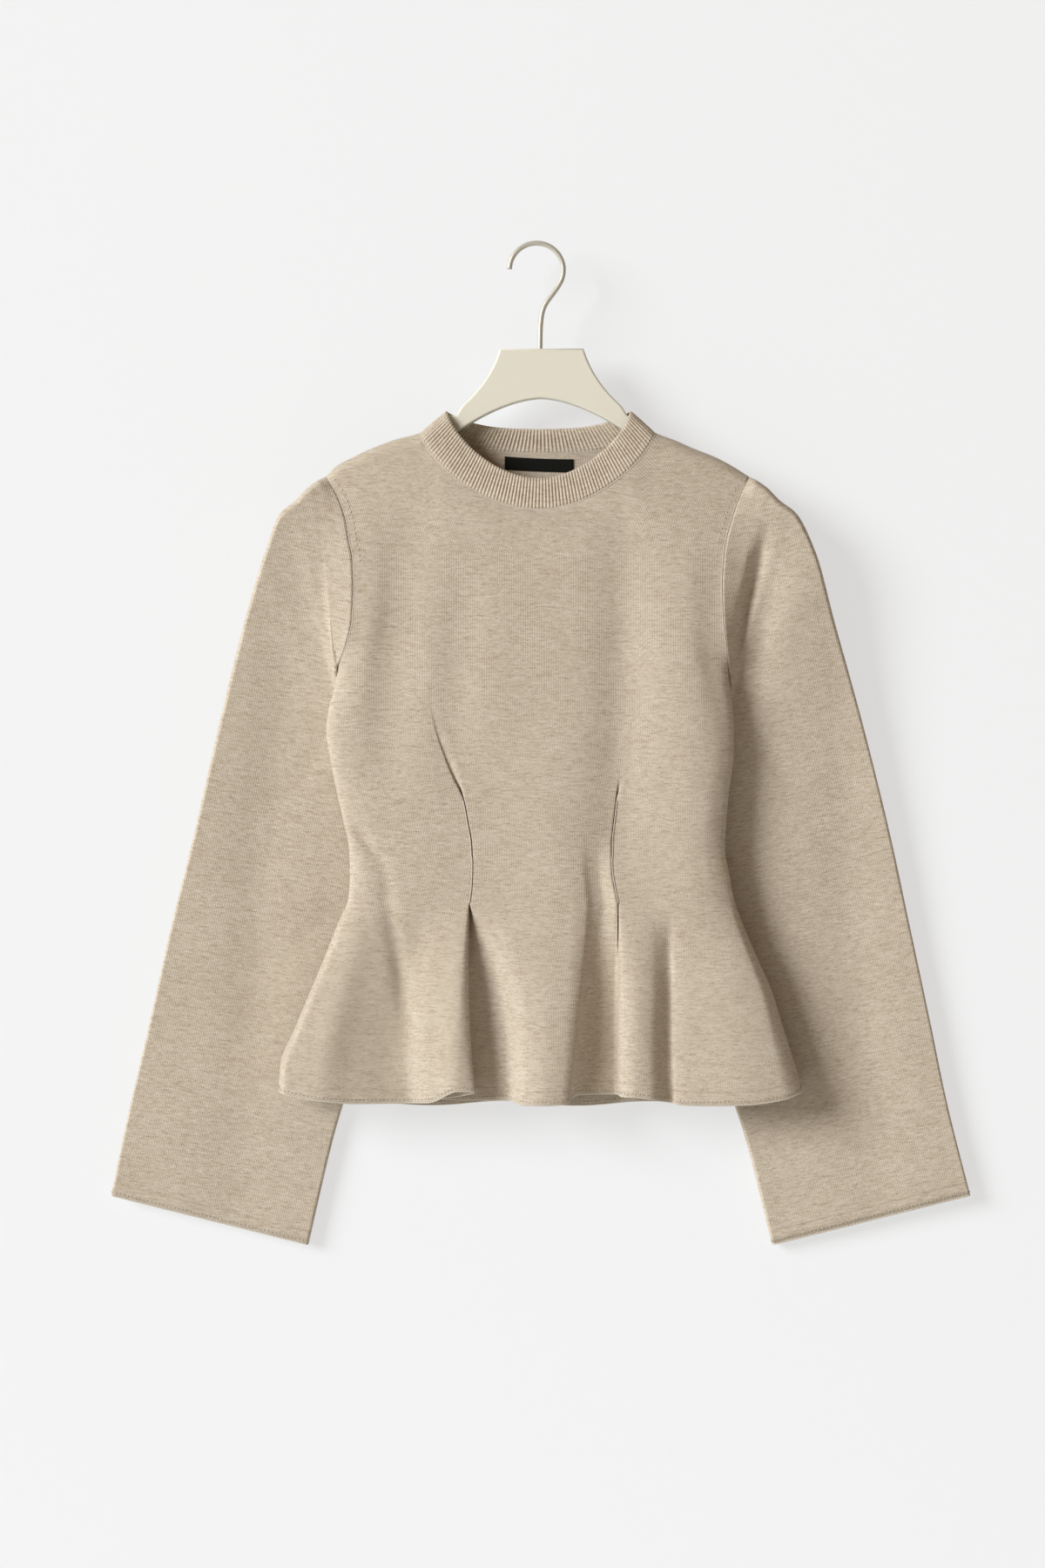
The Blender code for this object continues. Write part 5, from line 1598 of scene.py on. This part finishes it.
class PEPLUM_OT_stage(bpy.types.Operator):
    """Pale wall and floor, soft light and the camera"""

    bl_idname = "peplum.stage"
    bl_label = "Stage"

    def execute(self, context):
        stage = context.scene.peplum_stage
        scene = context.scene
        scene.view_settings.view_transform = "Standard"
        world = bpy.data.worlds.new("even light")
        scene.world = world
        world.use_nodes = True
        nodes = world.node_tree.nodes
        fill = nodes["Background"]
        fill.inputs["Color"].default_value = FILL_COLOUR
        fill.inputs["Strength"].default_value = stage.sky
        seen = nodes.new("ShaderNodeBackground")
        seen.inputs["Color"].default_value = SKY_COLOUR
        path = nodes.new("ShaderNodeLightPath")
        blend = nodes.new("ShaderNodeMixShader")
        links = world.node_tree.links
        links.new(path.outputs["Is Camera Ray"], blend.inputs[0])
        links.new(fill.outputs[0], blend.inputs[1])
        links.new(seen.outputs[0], blend.inputs[2])
        links.new(blend.outputs[0], nodes["World Output"].inputs[0])

        paint = Finish("pale floor", roughness=0.9)
        cloud = paint.patches(3.0, 3.0)
        paint.feed("Base Color", paint.mix(cloud * 0.3, (0.86, 0.87, 0.86), (0.82, 0.83, 0.82)))
        flat_piece("floor", paint.material, FLOOR_HALF, Matrix.Translation((0, 0, stage.floor)))

        paint = Finish("pale wall", roughness=0.95, specular=0.0)
        cloud = paint.patches(2.0, 3.0)
        paint.feed("Base Color", paint.mix(cloud * 0.3, (0.27, 0.28, 0.29), (0.26, 0.27, 0.28)))
        paint.shader.inputs["Emission Color"].default_value = (1.0, 1.0, 1.0, 1.0)
        paint.shader.inputs["Emission Strength"].default_value = stage.glow
        face = paint.tree.nodes.new("ShaderNodeNewGeometry")
        paint.see_through(paint.shader.outputs[0], face.outputs["Backfacing"])
        centre = Matrix.Translation((0, stage.wall_gap, stage.floor + WALL_HALF))
        flat_piece("wall", paint.material, WALL_HALF, centre @ Matrix.Rotation(np.pi / 2, 4, "X"))

        for name, power, place in (("key", stage.key, KEY_PLACE),
                                   ("back light", stage.back, BACK_LIGHT_PLACE)):
            light = bpy.data.lights.new(name, "AREA")
            light.shape = "DISK"
            light.size = LAMP_SIZE
            light.energy = power
            light.color = LAMP_COLOUR
            lamp = bpy.data.objects.new(name, light)
            lamp.location = place
            aim = Vector(LAMP_AIM) - lamp.location
            lamp.rotation_euler = aim.to_track_quat("-Z", "Y").to_euler()
            scene.collection.objects.link(lamp)

        camera = bpy.data.cameras.new("camera")
        camera.sensor_width = CAMERA_SENSOR
        camera.lens = CAMERA_LENS
        eye = bpy.data.objects.new("camera", camera)
        eye.location = CAMERA_PLACE
        eye.rotation_euler = (np.pi / 2, 0, 0)
        scene.collection.objects.link(eye)
        scene.camera = eye
        return {"FINISHED"}


def flat_piece(name, material, half, place):
    """A flat square of the stage."""
    bm = bmesh.new()
    bmesh.ops.create_grid(bm, x_segments=1, y_segments=1, size=half, matrix=place)
    shaped(name, bm, material, smooth=False)


OPERATORS = (PEPLUM_OT_panels, PEPLUM_OT_sleeves, PEPLUM_OT_seams, PEPLUM_OT_neckband,
             PEPLUM_OT_label, PEPLUM_OT_hanger, PEPLUM_OT_stage)


class PEPLUM_PT_sidebar(bpy.types.Panel):
    """Lists the pieces of the top"""

    bl_label = "Peplum top"
    bl_idname = "PEPLUM_PT_sidebar"
    bl_space_type = "VIEW_3D"
    bl_region_type = "UI"
    bl_category = "Peplum top"

    def draw(self, context):
        for group in SETTINGS:
            settings = getattr(context.scene, group)
            for name in settings.__annotations__:
                self.layout.prop(settings, name)
        for operator in OPERATORS:
            self.layout.operator(operator.bl_idname)


SETTINGS = {
    "peplum_knit": KnitSettings,
    "peplum_seams": SeamSettings,
    "peplum_band": BandSettings,
    "peplum_hanger": HangerSettings,
    "peplum_stage": StageSettings,
}


def register():
    for kind in (*SETTINGS.values(), *OPERATORS, PEPLUM_PT_sidebar):
        bpy.utils.register_class(kind)
    for name, kind in SETTINGS.items():
        setattr(bpy.types.Scene, name, PointerProperty(type=kind))


def unregister():
    for name in SETTINGS:
        delattr(bpy.types.Scene, name)
    for kind in (PEPLUM_PT_sidebar, *reversed(OPERATORS), *SETTINGS.values()):
        bpy.utils.unregister_class(kind)


def main():
    register()
    for operator in OPERATORS:
        group, name = operator.bl_idname.split(".")
        getattr(getattr(bpy.ops, group), name)()


if __name__ == "__main__":
    main()
